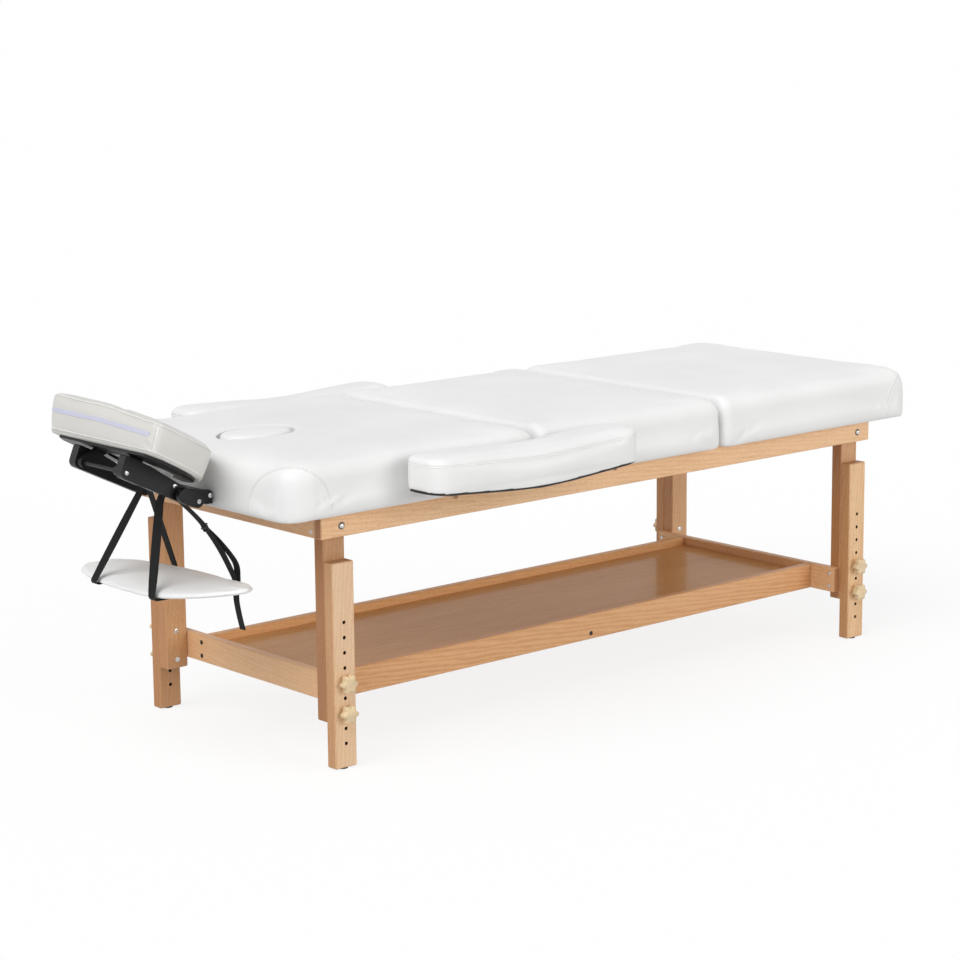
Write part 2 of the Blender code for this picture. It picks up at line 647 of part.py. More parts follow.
# Armrests
def armrest_stations():
    """Places along an armrest with its underside's height and its half width, less at its rounded corners."""
    half = ARMREST_WIDTH / 2
    corner = min(ARMREST_CORNER, 0.9 * half)
    steps = [corner * share for share in (0, 0.12, 0.42, 1.0)]
    middle = [corner + (ARMREST_LENGTH - 2 * corner) * step / 6 for step in range(1, 6)]
    at_peg = math.hypot(PEG_OFFSET, ARMREST_BEND)
    steepness = ARMREST_DIP / (at_peg - ARMREST_BEND)
    slope = steepness * PEG_OFFSET / at_peg
    over_peg = PEG_Z + (PEG_DIAMETER / 2 + GAP) * math.hypot(1, slope)
    stations = []
    for place in steps + middle + [ARMREST_LENGTH - step for step in reversed(steps)]:
        from_end = min(place, ARMREST_LENGTH - place, corner)
        width = half - corner + math.sqrt(corner ** 2 - (corner - from_end) ** 2)
        x = ARMREST_HEAD + place
        rise = steepness * (math.hypot(x - ARMREST_LOW_X, ARMREST_BEND) - at_peg)
        stations.append((x, over_peg + rise, width))
    return stations


def build_armrest(side, y):
    slide = empty(f"armrest_{side}_slide", (PEG_X[0], y * PEG_OUTER_Y, PEG_Z), table)
    board_rings, pad_rings = [], []
    for x, low, width in armrest_stations():
        high = low + ARMREST_BOARD_THICK
        thick = ARMREST_PAD_THICK * (1 - ARMREST_TAPER * ((x - ARMREST_LOW_X) / PEG_OFFSET) ** 2)
        inner, outer = (y * (ARMREST_Y + way * (width - ARMREST_BOARD_INSET)) for way in (-1, 1))
        board_rings.append([(x, inner, low), (x, outer, low), (x, outer, high), (x, inner, high)])
        pad_rings.append([(x, y * (ARMREST_Y + shift), high + GAP + up)
                          for shift, up in cushion_section(width, thick)])
    piece(f"armrest_board_{side}", swept_cage(board_rings), "black_board", slide)
    cage = swept_cage(pad_rings)
    underside = {round(ring[0][0], 6): ring[0][2] for ring in pad_rings}
    crease_ring_points(cage, lambda co: co.z < underside[round(co.x, 6)] + GAP)
    pad = piece(f"armrest_pad_{side}", cage, "leather", slide, smooth=60)
    subdivide(pad, 1)
    for end, x in zip(("head", "foot"), PEG_X):
        peg = rod((x, y * PEG_OUTER_Y, PEG_Z), (x, y * (PEG_OUTER_Y - PEG_LENGTH), PEG_Z),
                  PEG_DIAMETER)
        piece(f"armrest_peg_{side}_{end}", peg, "beech", slide, smooth=40)


# Face cradle
def cushion_plane():
    """The tilted plane under the face cushion: X runs down to the table, Y along the table's Y."""
    edge_x, edge_z = CUSHION_EDGE
    return Matrix.Translation((edge_x, 0, edge_z)) @ Matrix.Rotation(CUSHION_TILT, 4, "Y")


def cushion_rim():
    """The cushion's outer outline in its plane: straight at the head end, round beside the table."""
    corner_y = CUSHION_HALF_WIDTH - CUSHION_CORNER
    round_y = CUSHION_HALF_WIDTH - CUSHION_ROUND
    round_x = CUSHION_LENGTH - CUSHION_ROUND
    circles = [(CUSHION_CORNER, y * corner_y, CUSHION_CORNER) for _, y in SIDES]
    for step in range(19):
        turn = math.radians(5 * step)
        along, across = (CUSHION_ROUND * share for share in (math.cos(turn), math.sin(turn)))
        circles += [(round_x + along, y * (round_y + across), 0) for _, y in SIDES]
    return hull_outline(circles, 48)


def horseshoe(rim, turn, inset=0.0):
    """The inner and outer edge of the horseshoe on a ray from the face opening, at a turn from the head."""
    middle = Vector((FACE_OPENING_PLACE, 0))
    ray = Vector((-math.cos(turn), math.sin(turn)))
    inner = middle + Vector((ray.x * FACE_OPENING_LENGTH / 2, ray.y * FACE_OPENING_WIDTH / 2))
    for here, there in zip(rim, rim[1:] + rim[:1]):
        side, edge = Vector(here) - middle, Vector(there) - Vector(here)
        denominator = ray.x * edge.y - ray.y * edge.x
        if denominator:
            reach = (side.x * edge.y - side.y * edge.x) / denominator
            share = (side.x * ray.y - side.y * ray.x) / denominator
            if reach > 0 and 0 <= share <= 1:
                outer = middle + ray * reach
    run = (outer - inner).normalized() * inset
    return inner + run, outer - run


def build_cushion(tilt):
    plane = cushion_plane()
    rim = cushion_rim()
    corner = math.degrees(math.atan2(CUSHION_HALF_WIDTH - CUSHION_CORNER,
                                     FACE_OPENING_PLACE - CUSHION_CORNER))
    sweep = math.degrees(CUSHION_SWEEP)
    right = [0, corner / 2, corner - 9, corner, corner + 9, 90, 115, 136, sweep - 4, sweep]
    turns = [-turn for turn in reversed(right[1:])] + right
    rings = []
    for turn in turns:
        inner, outer = horseshoe(rim, math.radians(turn))
        middle = (inner + outer) / 2
        half = (outer - inner) / 2
        fullness = 0.6 if abs(turn) == sweep else 1.0
        lean = Vector((-CUSHION_LEAN * (1 + math.cos(math.radians(turn))) / 2, 0))
        rings.append([plane @ Vector((*(middle + half * across * fullness + lean * up), up))
                      for across, up in cushion_section(1.0, CUSHION_THICK)])
    cage = swept_cage(rings)
    crease_ring_points(cage, lambda co: (plane.inverted() @ co).z < GAP)
    cushion = piece("face_cushion", cage, "leather", tilt, smooth=60)
    subdivide(cushion, 1)


def build_platform(tilt):
    plane = cushion_plane()
    rim = cushion_rim()
    edges = [horseshoe(rim, CUSHION_SWEEP * (step / 14 - 1), PLATFORM_INSET) for step in range(29)]
    outline = [outer for _, outer in edges] + [inner for inner, _ in reversed(edges)]
    flat = extruded([[tuple(spot) for spot in outline]], PLATFORM_THICK,
                    plane @ Matrix.Translation((0, 0, -GAP - PLATFORM_THICK / 2)))
    platform = piece("cradle_platform", flat, "black_plastic", tilt)
    hinge = plane.inverted() @ Vector((TILT_X, 0, TILT_Z))
    foot = -GAP - PLATFORM_THICK * 0.6
    ear_outer = ARM_INNER_Y - GAP
    for side, y in SIDES:
        spread = 1.8 * EAR_RADIUS
        ear_outline = hull_outline([(hinge.x, hinge.z, EAR_RADIUS), (hinge.x + spread, foot, GAP),
                                    (hinge.x + 2.4 * spread, foot, GAP)])
        depth, stand = upright(*sorted((y * ear_outer, y * (ear_outer - EAR_THICK))))
        boolean(platform, cutter(f"ear_{side}", extruded([ear_outline], depth, plane @ stand)), "UNION")
    pin = rod((TILT_X, -CHEEK_OUTER_Y, TILT_Z), (TILT_X, CHEEK_OUTER_Y, TILT_Z), TILT_DIAMETER + 2 * BORE_GAP)
    boolean(platform, cutter("ear_bores", pin))


def build_arms(arm_hinge):
    plane = cushion_plane()
    drop = GAP + PLATFORM_THICK + ARM_SHOULDER_DROP
    shoulders = [plane @ Vector((along, 0, -drop)) for along in ARM_SHOULDERS]
    outline = hull_outline([(TILT_X, TILT_Z, ARM_END_RADIUS), (PIVOT_X, CRADLE_Z, PIVOT_BOSS_RADIUS)]
                           + [(spot.x, spot.z, ARM_SHOULDER_RADIUS) for spot in shoulders])
    bores = cutter("arm_bores", joined(
        rod((TILT_X, -CHEEK_OUTER_Y - OVERCUT, TILT_Z), (TILT_X, CHEEK_OUTER_Y + OVERCUT, TILT_Z),
            TILT_DIAMETER + 2 * BORE_GAP),
        rod((PIVOT_X, -CHEEK_OUTER_Y - OVERCUT, CRADLE_Z), (PIVOT_X, CHEEK_OUTER_Y + OVERCUT, CRADLE_Z),
            PIVOT_DIAMETER + 2 * BORE_GAP)))
    for side, y in SIDES:
        depth, stand = upright(*sorted((y * ARM_OUTER_Y, y * ARM_INNER_Y)))
        arm = piece(f"cradle_arm_{side}", extruded([outline], depth, stand), "black_plastic", arm_hinge)
        bevel(arm, 0.002)
        boolean(arm, bores)
    tilt_pin = rod((TILT_X, -ARM_OUTER_Y, TILT_Z), (TILT_X, ARM_OUTER_Y, TILT_Z), TILT_DIAMETER)
    piece("cradle_tilt_pin", tilt_pin, "steel", arm_hinge, smooth=40)
    bar_y = ARM_INNER_Y - GAP
    bar = rod((SLING_BAR_X, -bar_y, SLING_BAR_Z), (SLING_BAR_X, bar_y, SLING_BAR_Z), SLING_BAR_DIAMETER)
    piece("sling_bar", bar, "steel", arm_hinge, smooth=40)


def build_cradle_base(slide):
    low_x, high_x = CROSSBAR_X
    half = CROSSBAR_WIDTH / 2
    low_z = CRADLE_Z - CROSSBAR_HEIGHT / 2
    base = piece("cradle_base", box((low_x, -half, low_z), (high_x, half, low_z + CROSSBAR_HEIGHT)),
                 "black_plastic", slide)
    cheek = hull_outline([(*CHEEK_HEAD, CHEEK_HEAD_RADIUS), (*CHEEK_TAIL, CHEEK_TAIL_RADIUS),
                          (PIVOT_X, CRADLE_Z, PIVOT_BOSS_RADIUS)])
    for side, y in SIDES:
        depth, stand = upright(*sorted((y * half, y * (half - CHEEK_THICK))))
        boolean(base, cutter(f"cheek_{side}", extruded([cheek], depth, stand)), "UNION")
    pivot = rod((PIVOT_X, -half - OVERCUT, CRADLE_Z), (PIVOT_X, half + OVERCUT, CRADLE_Z),
                PIVOT_DIAMETER + 2 * BORE_GAP)
    seat_x = high_x - ROD_SEAT_DEPTH
    seats = [rod((seat_x - GAP, y * ROD_Y, CRADLE_Z), (high_x + OVERCUT, y * ROD_Y, CRADLE_Z),
                 ROD_DIAMETER + 2 * BORE_GAP) for _, y in SIDES]
    boolean(base, cutter("cradle_base_bores", joined(pivot, *seats)))
    for side, y in SIDES:
        shaft = rod((seat_x, y * ROD_Y, CRADLE_Z), (ROD_INNER_X, y * ROD_Y, CRADLE_Z), ROD_DIAMETER)
        piece(f"cradle_rod_{side}", shaft, "steel", slide, smooth=40)
    lever_outer = half + GAP + LEVER_THICK
    pivot_shaft = rod((PIVOT_X, -lever_outer - PIVOT_DIAMETER / 4, CRADLE_Z),
                      (PIVOT_X, half + PIVOT_DIAMETER / 4, CRADLE_Z), PIVOT_DIAMETER)
    piece("cradle_pivot_shaft", pivot_shaft, "steel", slide, smooth=40)
    back = -ARM_LINE.normalized() * LEVER_LENGTH
    lever_outline = hull_outline([(PIVOT_X, CRADLE_Z, PIVOT_BOSS_RADIUS),
                                  (PIVOT_X + back.x, CRADLE_Z + back.y, LEVER_TIP_RADIUS)])
    lever_hinge = empty("cam_lever_hinge", (PIVOT_X, -half, CRADLE_Z), slide)
    depth, stand = upright(-lever_outer, -half - GAP)
    lever = piece("cam_lever", extruded([lever_outline], depth, stand), "black_plastic", lever_hinge)
    bevel(lever, LEVER_THICK / 5)
    bore = rod((PIVOT_X, -half + GAP, CRADLE_Z), (PIVOT_X, -lever_outer - OVERCUT, CRADLE_Z),
               PIVOT_DIAMETER + 2 * BORE_GAP)
    boolean(lever, cutter("cam_lever_bore", bore))


# Arm sling
def leaf_point(turn):
    """A point of the sling's leaf outline, an oval sharper in front, at a turn round it."""
    along = SLING_LENGTH / 2 * math.cos(turn)
    pointed = 1.0 + SLING_POINT * math.cos(turn)
    across = SLING_WIDTH / 2 * math.copysign(abs(math.sin(turn)) ** pointed, math.sin(turn))
    centre_x, centre_y, _ = SLING_CENTRE
    cosine, sine = math.cos(SLING_YAW), math.sin(SLING_YAW)
    return Vector((centre_x + along * cosine - across * sine, centre_y + along * sine + across * cosine))


def leaf_edges(y):
    """The least and greatest X of the leaf over a strap's width at a Y place."""
    steps = 240
    ring = [leaf_point(math.tau * step / steps) for step in range(steps)]
    under_strap = [spot.x for spot in ring if abs(spot.y - y) < STRAP_WIDTH / 2]
    return min(under_strap), max(under_strap)


def build_sling(arm_hinge):
    swing = empty("sling_swing", (SLING_BAR_X, 0, SLING_BAR_Z), arm_hinge)
    bottom = SLING_CENTRE[2] - SLING_RIM / 2
    sides = 24
    rim = [leaf_point(math.tau * (step + 0.5) / sides) for step in range(sides)]
    leaf = extruded([[tuple(spot) for spot in rim]], SLING_RIM, Matrix.Translation((0, 0, SLING_CENTRE[2])))
    bmesh.ops.dissolve_limit(leaf, angle_limit=0.02, verts=leaf.verts, edges=leaf.edges)
    lid = [face for face in leaf.faces if face.normal.z > 0.9]
    for inset, rise in ((0.006, 0.002), (0.035, SLING_CROWN)):
        bmesh.ops.inset_region(leaf, faces=lid, thickness=inset, depth=rise)
    crease_ring_points(leaf, lambda co: co.z < bottom + GAP)
    shelf = piece("sling_shelf", leaf, "leather", swing, smooth=60)
    subdivide(shelf, 1)
    bar_radius = SLING_BAR_DIAMETER / 2 + GAP
    edge_radius = SLING_RIM / 2 + GAP
    for (side, _), top_y, foot_y in zip(SIDES, STRAP_TOP_Y, STRAP_FOOT_Y):
        edge_x = leaf_edges(foot_y)
        circles = [(SLING_BAR_X, SLING_BAR_Z, bar_radius)]
        circles += [(x, SLING_CENTRE[2], edge_radius) for x in edge_x]
        thick = [(x, z, radius + STRAP_THICK) for x, z, radius in circles]
        depth, stand = upright(top_y - STRAP_WIDTH / 2, top_y + STRAP_WIDTH / 2)
        lean = (foot_y - top_y) / (SLING_CENTRE[2] - SLING_BAR_Z)
        shear = Matrix.Identity(4)
        shear[1][2] = lean
        shear[1][3] = -lean * SLING_BAR_Z
        loop = extruded([hull_outline(thick), hull_outline(circles)], depth, shear @ stand)
        piece(f"sling_strap_{side}", loop, "webbing", swing)
        if side == "front":
            build_buckle(swing, circles[0], circles[2], top_y, lean)


def build_buckle(swing, bar, edge, top_y, lean):
    """A ladder buckle round the front loop's strap nearest the table."""
    start, end = (Vector((x, z)) for x, z, _ in (bar, edge))
    run = (end - start).normalized()
    lean_in = math.acos((bar[2] - edge[2]) / (end - start).length)
    side = Matrix.Rotation(lean_in, 2) @ run
    spots = [spot + side * (radius + STRAP_THICK / 2) for spot, (_, _, radius) in ((start, bar), (end, edge))]
    middle = spots[0].lerp(spots[1], BUCKLE_PLACE)
    turn = math.atan2(spots[1].x - spots[0].x, spots[0].y - spots[1].y)
    half_width = STRAP_WIDTH / 2 + BUCKLE_GAP + BUCKLE_LENGTH * abs(lean) / 2
    half_thick = STRAP_THICK / 2 + BUCKLE_GAP
    rings = [[(-w, -t), (w, -t), (w, t), (-w, t)]
             for w, t in ((half_width + BUCKLE_WALL, half_thick + BUCKLE_WALL), (half_width, half_thick))]
    y = top_y + lean * (middle.y - SLING_BAR_Z)
    place = (Matrix.Translation((middle.x, y, middle.y)) @ Matrix.Rotation(-turn, 4, "Y")
             @ Matrix.Rotation(math.pi / 2, 4, "Z"))
    piece("sling_buckle", extruded(rings, BUCKLE_LENGTH, place), "black_plastic", swing)


def build_cradle():
    slide = empty("cradle_slide", (TOP_HEAD, 0, CRADLE_Z), table)
    arm_hinge = empty("cradle_arm_hinge", (PIVOT_X, 0, CRADLE_Z), slide)
    tilt = empty("cradle_tilt_hinge", (TILT_X, 0, TILT_Z), arm_hinge)
    build_cradle_base(slide)
    build_arms(arm_hinge)
    build_platform(tilt)
    build_cushion(tilt)
    build_sling(arm_hinge)


def centre_origin():
    """Put the part's origin on the floor under the middle of its whole length."""
    bpy.context.view_layer.update()
    depsgraph = bpy.context.evaluated_depsgraph_get()
    reach = []
    for made in parts.objects:
        if made.type == "MESH":
            shaped = made.evaluated_get(depsgraph)
            reach += [(shaped.matrix_world @ Vector(corner)).x for corner in shaped.bound_box]
    table.location.x = -(min(reach) + max(reach)) / 2
    print(f"origin lies {-table.location.x * 1000:.2f} mm from the middle of the posts along X")


build_frame()
for side_name, side_sign in SIDES:
    for end_name, end_sign in ENDS:
        build_leg(side_name, side_sign, end_name, end_sign)
build_top()
build_plug()
for side_name, side_sign in SIDES:
    build_armrest(side_name, side_sign)
build_cradle()
centre_origin()
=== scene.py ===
"""The massage table's looks: soft goods, small fittings, finishes, light and camera.

Lengths are in metres. Places are written in the frame of the part's source, whose X origin is the middle
of the timber frame; `at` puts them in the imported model's frame.
"""

from math import copysign, cos, hypot, pi, radians, sin, sqrt, tau

import bmesh
import bpy
import numpy as np
from mathutils import Matrix, Vector
from mathutils.bvhtree import BVHTree


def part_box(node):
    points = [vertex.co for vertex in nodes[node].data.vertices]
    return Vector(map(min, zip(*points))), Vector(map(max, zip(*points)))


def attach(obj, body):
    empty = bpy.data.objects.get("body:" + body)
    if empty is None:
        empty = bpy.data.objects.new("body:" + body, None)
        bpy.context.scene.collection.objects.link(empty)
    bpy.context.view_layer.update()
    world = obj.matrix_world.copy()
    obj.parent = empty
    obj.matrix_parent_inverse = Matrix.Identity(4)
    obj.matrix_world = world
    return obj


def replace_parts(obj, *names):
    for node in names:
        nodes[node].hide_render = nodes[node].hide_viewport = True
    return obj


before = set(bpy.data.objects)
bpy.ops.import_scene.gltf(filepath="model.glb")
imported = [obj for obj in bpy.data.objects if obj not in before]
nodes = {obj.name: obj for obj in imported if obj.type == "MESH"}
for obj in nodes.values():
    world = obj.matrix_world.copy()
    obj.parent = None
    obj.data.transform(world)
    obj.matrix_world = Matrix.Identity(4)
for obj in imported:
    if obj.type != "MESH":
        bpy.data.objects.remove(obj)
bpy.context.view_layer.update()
scene = bpy.context.scene

rail_low, rail_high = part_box("side_rail_front")
SHIFT_X = (rail_low.x + rail_high.x) / 2

# Padded top, repeated from the part's source
TOP_HEAD, TOP_FOOT, TOP_HALF = -0.930, 0.958, 0.350
SPLITS, SPLIT_GAP = (-0.265, 0.296), 0.004
PAD_BOTTOM, PAD_RIM, BOARD_TOP = 0.5293, 0.6463, 0.5473
PAD_CORNER, JOINT_CORNER, SKIRT = 0.058, 0.018, 0.014
HOLE_X, HOLE_LENGTH, HOLE_WIDTH = -0.751, 0.182, 0.126
PEG_X, PEG_Z, PEG_INNER_Y, PEG_BORE = (-0.584, -0.138), 0.555, 0.265, 0.0068
ROD_Y, ROD_Z, ROD_INNER_X, ROD_BORE = 0.083, 0.552, -0.842, 0.0088

# Armrests
ARMREST_HEAD, ARMREST_LENGTH, ARMREST_Y, ARMREST_HALF = -0.656, 0.575, 0.415, 0.056
ARMREST_CORNER, ARMREST_LOW_X, ARMREST_BEND, ARMREST_DIP = 0.040, -0.361, 0.055, 0.014
ARMREST_UNDER, ARMREST_BOARD, ARMREST_THICK, ARMREST_TAPER = 0.5613, 0.008, 0.074, 0.06
PEG_OFFSET = 0.223

# Face cradle and arm sling
CUSHION_EDGE, CUSHION_TILT = (-1.138, 0.677), radians(28)
CUSHION_LENGTH, CUSHION_HALF, CUSHION_THICK, CUSHION_LEAN = 0.206, 0.186, 0.080, 0.30
CUSHION_CORNER, CUSHION_ROUND, CUSHION_SWEEP = 0.010, 0.150, 152
OPENING_PLACE, OPENING_LENGTH, OPENING_WIDTH = 0.116, 0.100, 0.150
TILT_X, TILT_Z, BAR_RIVET_Z = -1.135, 0.628, 0.587
ARM_OUTER_Y, CHEEK_OUTER_Y = 0.0942, 0.100
CHEEK_RIVET_X, CHEEK_RIVET_Z = -0.941, 0.557
BAR_X, BAR_Z, BAR_RADIUS = -1.022, 0.57259, 0.004
LEAF_Z, LEAF_RIM = 0.378, 0.010
LEAF_CENTRE, LEAF_LENGTH, LEAF_WIDTH = (-1.011, -0.043), 0.520, 0.204
LEAF_YAW, LEAF_POINT = radians(-88), 0.28
LEAF_CURL, LEAF_CURL_FROM, LEAF_CURL_REACH = 0.024, -0.115, 0.188
STRAP_TOP_Y, STRAP_FOOT_Y = (-0.060, 0.012), (-0.130, 0.074)
STRAP_THICK, STRAP_HALF, STRAP_STEP = 0.0018, 0.0095, 0.005
ARM_CLEAR_Z, BUCKLE_AT, BUCKLE_ROD = 0.548, (-0.955, -0.098, 0.492), 0.0019

# Timber frame
POST_X, POST_INNER_Y, KNOB_HOLES = 0.7825, 0.2675, (2, 4)
HOLE_HEIGHTS = [0.054 + 0.0316 * index for index in range(9)]
KNOB_Z = [HOLE_HEIGHTS[index] for index in KNOB_HOLES]
LEG_INNER_Y, LEG_OUTER_Y = 0.2978, 0.3258
RAIL_Y, RAIL_BOLT_X, RAIL_BOLT_Z = 0.3178, (-0.778, 0.788), 0.504
END_RAIL_X, END_SCREW_Y, END_SCREW_Z = 0.830, 0.285, 0.493
STRETCHER_INNER_X, STRETCHER_BOLT_Y, STRETCHER_BOLT_Z = 0.7347, 0.283, (0.132, 0.162)
STRETCHER_OUTER_X, WELL_Y, WELL_Z, APRON_Y = 0.7547, 0.214, (0.130, 0.160), 0.224
SIDES = (("front", -1), ("rear", 1))
ENDS = (("head", -1), ("foot", 1))


def at(x, y, z):
    """A place of the part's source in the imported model's frame."""
    return Vector((x + SHIFT_X, y, z))


def srgb(red, green, blue):
    """A colour given in 0 to 255, in the renderer's linear values."""
    shares = [value / 255 for value in (red, green, blue)]
    return tuple(v / 12.92 if v <= 0.04045 else ((v + 0.055) / 1.055) ** 2.4 for v in shares)


# Camera, fitted to the corners of the timber frame in the photograph
camera = bpy.data.objects.new("camera", bpy.data.cameras.new("camera"))
scene.collection.objects.link(camera)
camera.data.sensor_width = 36.0
camera.data.lens = 98.985
camera.matrix_world = Matrix(((0.75184, 0.13110, -0.6462, -3.875243),
                              (-0.65926, 0.13509, -0.7397, -4.396032),
                              (-0.00968, 0.98216, 0.1880, 1.583996), (0, 0, 0, 1)))
scene.camera = camera


# Finishes
def add_node(tree, kind, inputs=(), **settings):
    """A new node with its settings, and its inputs set or linked."""
    made = tree.nodes.new("ShaderNode" + kind)
    for name, value in settings.items():
        setattr(made, name, value)
    for socket, value in dict(inputs).items():
        if isinstance(value, bpy.types.NodeSocket):
            tree.links.new(value, made.inputs[socket])
        else:
            made.inputs[socket].default_value = value
    return made


class Finish:
    """A Principled material and what builds its nodes."""

    def __init__(self, name, **constants):
        self.made = bpy.data.materials.new(name)
        self.made.use_nodes = True
        self.tree = self.made.node_tree
        self.shader = self.tree.nodes["Principled BSDF"]
        for socket, value in constants.items():
            self.shader.inputs[socket.replace("_", " ")].default_value = value
        source = self.add("TexCoord")
        self.place, self.normal = source.outputs["Object"], source.outputs["Normal"]

    def add(self, kind, inputs=(), **settings):
        return add_node(self.tree, kind, inputs, **settings)

    def give(self, socket, value):
        self.tree.links.new(value, self.shader.inputs[socket])

    def stretched(self, scale, turn=(0, 0, 0), shift=(0, 0, 0), place=None):
        return self.add("Mapping", {"Vector": place or self.place, "Scale": scale, "Rotation": turn,
                                    "Location": shift}).outputs["Vector"]

    def noise(self, scale, detail, roughness=0.5, place=None):
        """Noise of one scale, or of a scale for each axis."""
        if isinstance(scale, tuple):
            place, scale = self.stretched(scale, place=place), 1.0
        return self.add("TexNoise", {"Vector": place or self.place, "Scale": scale, "Detail": detail,
                                     "Roughness": roughness}).outputs["Fac"]

    def bands(self, place, pitch, direction, **wave):
        """Even bands with a given distance from one to the next."""
        inputs = {"Vector": place, "Scale": tau / 20 / pitch}
        inputs.update({socket.replace("_", " "): value for socket, value in wave.items()})
        return self.add("TexWave", inputs, wave_type="BANDS", bands_direction=direction,
                        wave_profile="SIN").outputs["Fac"]

    def maths(self, operation, first, second):
        return self.add("Math", {0: first, 1: second}, operation=operation).outputs[0]

    def blended(self, *parts):
        """A weighted sum of values, each given with its weight."""
        total = 0.0
        for value, weight in parts:
            total = self.maths("ADD", total, self.maths("MULTIPLY", value, weight))
        return total

    def between(self, value, low, high):
        """Spread 0 to 1 over a range."""
        return self.add("MapRange", {"Value": value, "To Min": low, "To Max": high}).outputs["Result"]

    def ramp(self, value, *stops):
        made = self.add("ValToRGB", {"Fac": value})
        elements = made.color_ramp.elements
        while len(elements) < len(stops):
            elements.new(0.5)
        for element, (position, colour) in zip(elements, stops):
            element.position = position
            element.color = (*colour, 1.0)
        return made.outputs["Color"]

    def multiply(self, first, second):
        """Two colours multiplied."""
        made = self.add("Mix", {0: 1.0, 6: first, 7: second}, data_type="RGBA", blend_type="MULTIPLY")
        return made.outputs[2]

    def on_faces(self, colour, axis, tint):
        """A colour tinted on the faces that look along an axis, either way."""
        parts = self.add("SeparateXYZ", {"Vector": self.normal})
        along = self.add("Math", {0: parts.outputs[axis]}, operation="ABSOLUTE").outputs[0]
        return self.multiply(colour, self.ramp(along, (0.60, (1, 1, 1)), (0.82, tint)))

    def shades(self, value, colour, darkest, lightest, low=0.3, high=0.7):
        """A base colour that runs from a darker to a lighter shade of one colour."""
        dark, light = ([part * share for part in srgb(*colour)] for share in (darkest, lightest))
        self.give("Base Color", self.ramp(value, (low, dark), (high, light)))

    def rough(self, value, low, high):
        self.give("Roughness", self.between(value, low, high))

    def bump(self, height, strength, distance):
        made = self.add("Bump", {"Height": height, "Strength": strength, "Distance": distance})
        self.give("Normal", made.outputs["Normal"])


GRAIN_TURN = {"X": (0, 0, 0), "Y": (0, 0, pi / 2), "Z": (0, pi / 2, 0)}
BEECH = (srgb(219, 177, 136), srgb(233, 197, 160), srgb(240, 208, 174))
END_GRAIN = (0.50, 0.38, 0.29)
# Painted shade: a darker tint on both faces of an upright post or leg that look along X.
X_FACE_SHADE = (0.74, 0.60, 0.47)


def beech(name, axis, seed, tint=(1, 1, 1), figure=0.14, gloss=(0.36, 0.52), **constants):
    """Beech with its grain along an axis: fibre, rings, slow drift, flecks and darker ends, with painted
    shade on the X faces of upright members.
    """
    finish = Finish(name, **constants)
    shift = (0.37 * seed, 0.113 * seed, 0.071 * seed)
    grain = finish.stretched((1, 1, 1), GRAIN_TURN[axis], shift)
    fibre = finish.noise((6, 260, 260), 4.0, 0.62, grain)
    drift = finish.noise((1.4, 16, 16), 3.0, place=grain)
    rings = finish.bands(finish.stretched((0.09, 1, 1), place=grain), 0.0052, "DIAGONAL", Distortion=5.0,
                         Detail=2.0, Detail_Scale=1.4)
    fleck = finish.noise((150, 1100, 1100), 1.0, place=grain)
    tone = finish.blended((fibre, 0.4 * (1 - figure)), (drift, 0.6 * (1 - figure)), (rings, figure))
    dark, middle, light = ([value * share for value, share in zip(colour, tint)] for colour in BEECH)
    colour = finish.ramp(tone, (0.28, dark), (0.50, middle), (0.72, light))
    spots = finish.ramp(fleck, (0.58, (1, 1, 1)), (0.70, srgb(234, 217, 201)))
    colour = finish.on_faces(finish.multiply(colour, spots), axis, END_GRAIN)
    # Painted shade on the X faces of upright members.
    if axis == "Z":
        colour = finish.on_faces(colour, "X", X_FACE_SHADE)
    finish.give("Base Color", colour)
    finish.rough(fibre, *gloss)
    finish.bump(finish.blended((fibre, 1.0), (fleck, -0.5)), 0.15, 0.0004)
    return finish.made


def leather(name, colour):
    """Artificial leather: a fine pebbled grain and a slow change of tone."""
    finish = Finish(name)
    cells = finish.add("TexVoronoi", {"Vector": finish.place, "Scale": 620.0, "Smoothness": 0.6},
                       feature="SMOOTH_F1").outputs["Distance"]
    fine = finish.noise(1500.0, 2.0)
    slow = finish.noise(5.0, 3.0)
    low, high = srgb(*[value - 6 for value in colour]), srgb(*[value + 2 for value in colour])
    tone = finish.blended((slow, 0.8), (cells, 0.25))
    finish.give("Base Color", finish.ramp(tone, (0.30, low), (0.68, high)))
    finish.rough(finish.noise(60.0, 3.0), 0.40, 0.54)
    finish.bump(finish.blended((cells, 1.0), (fine, 0.4)), 0.10, 0.0005)
    return finish.made


def moulded(name, colour, roughness, grain=1800.0, spread=0.12, **constants):
    """Moulded plastic with a fine spark-eroded grain and faint flow marks."""
    finish = Finish(name, **constants)
    grainy = finish.noise(grain, 2.0)
    flow = finish.noise((18, 18, 60), 3.0)
    finish.shades(flow, colour, 0.82, 1.15)
    finish.rough(grainy, roughness - spread, roughness + spread)
    finish.bump(grainy, 0.12, 0.0004)
    return finish.made


def steel(name, colour, roughness):
    """Plated steel with fine turning marks."""
    finish = Finish(name, Metallic=1.0)
    marks = finish.noise((90, 1400, 1400), 2.0)
    tone = finish.noise(40.0, 2.0)
    finish.shades(tone, colour, 0.85, 1.1)
    finish.rough(marks, roughness - 0.06, roughness + 0.14)
    finish.bump(marks, 0.06, 0.0002)
    return finish.made


def weave(name, colour, pitch):
    """Woven tape, read across and along from the piece's own attribute."""
    finish = Finish(name, Sheen_Weight=0.06, Sheen_Roughness=0.5, Specular_IOR_Level=0.25)
    run = finish.add("Attribute", attribute_name="weave").outputs["Vector"]
    rib = finish.bands(run, pitch, "Y", Distortion=0.6, Detail=1.0, Detail_Scale=400.0)
    warp = finish.bands(run, 0.7 * pitch, "X", Distortion=0.4)
    thread = finish.maths("MULTIPLY", rib, finish.between(warp, 0.5, 1.0))
    finish.shades(thread, colour, 0.55, 1.35, 0.1, 0.8)
    finish.rough(thread, 0.72, 0.9)
    finish.bump(thread, 0.5, 0.0005)
    return finish.made


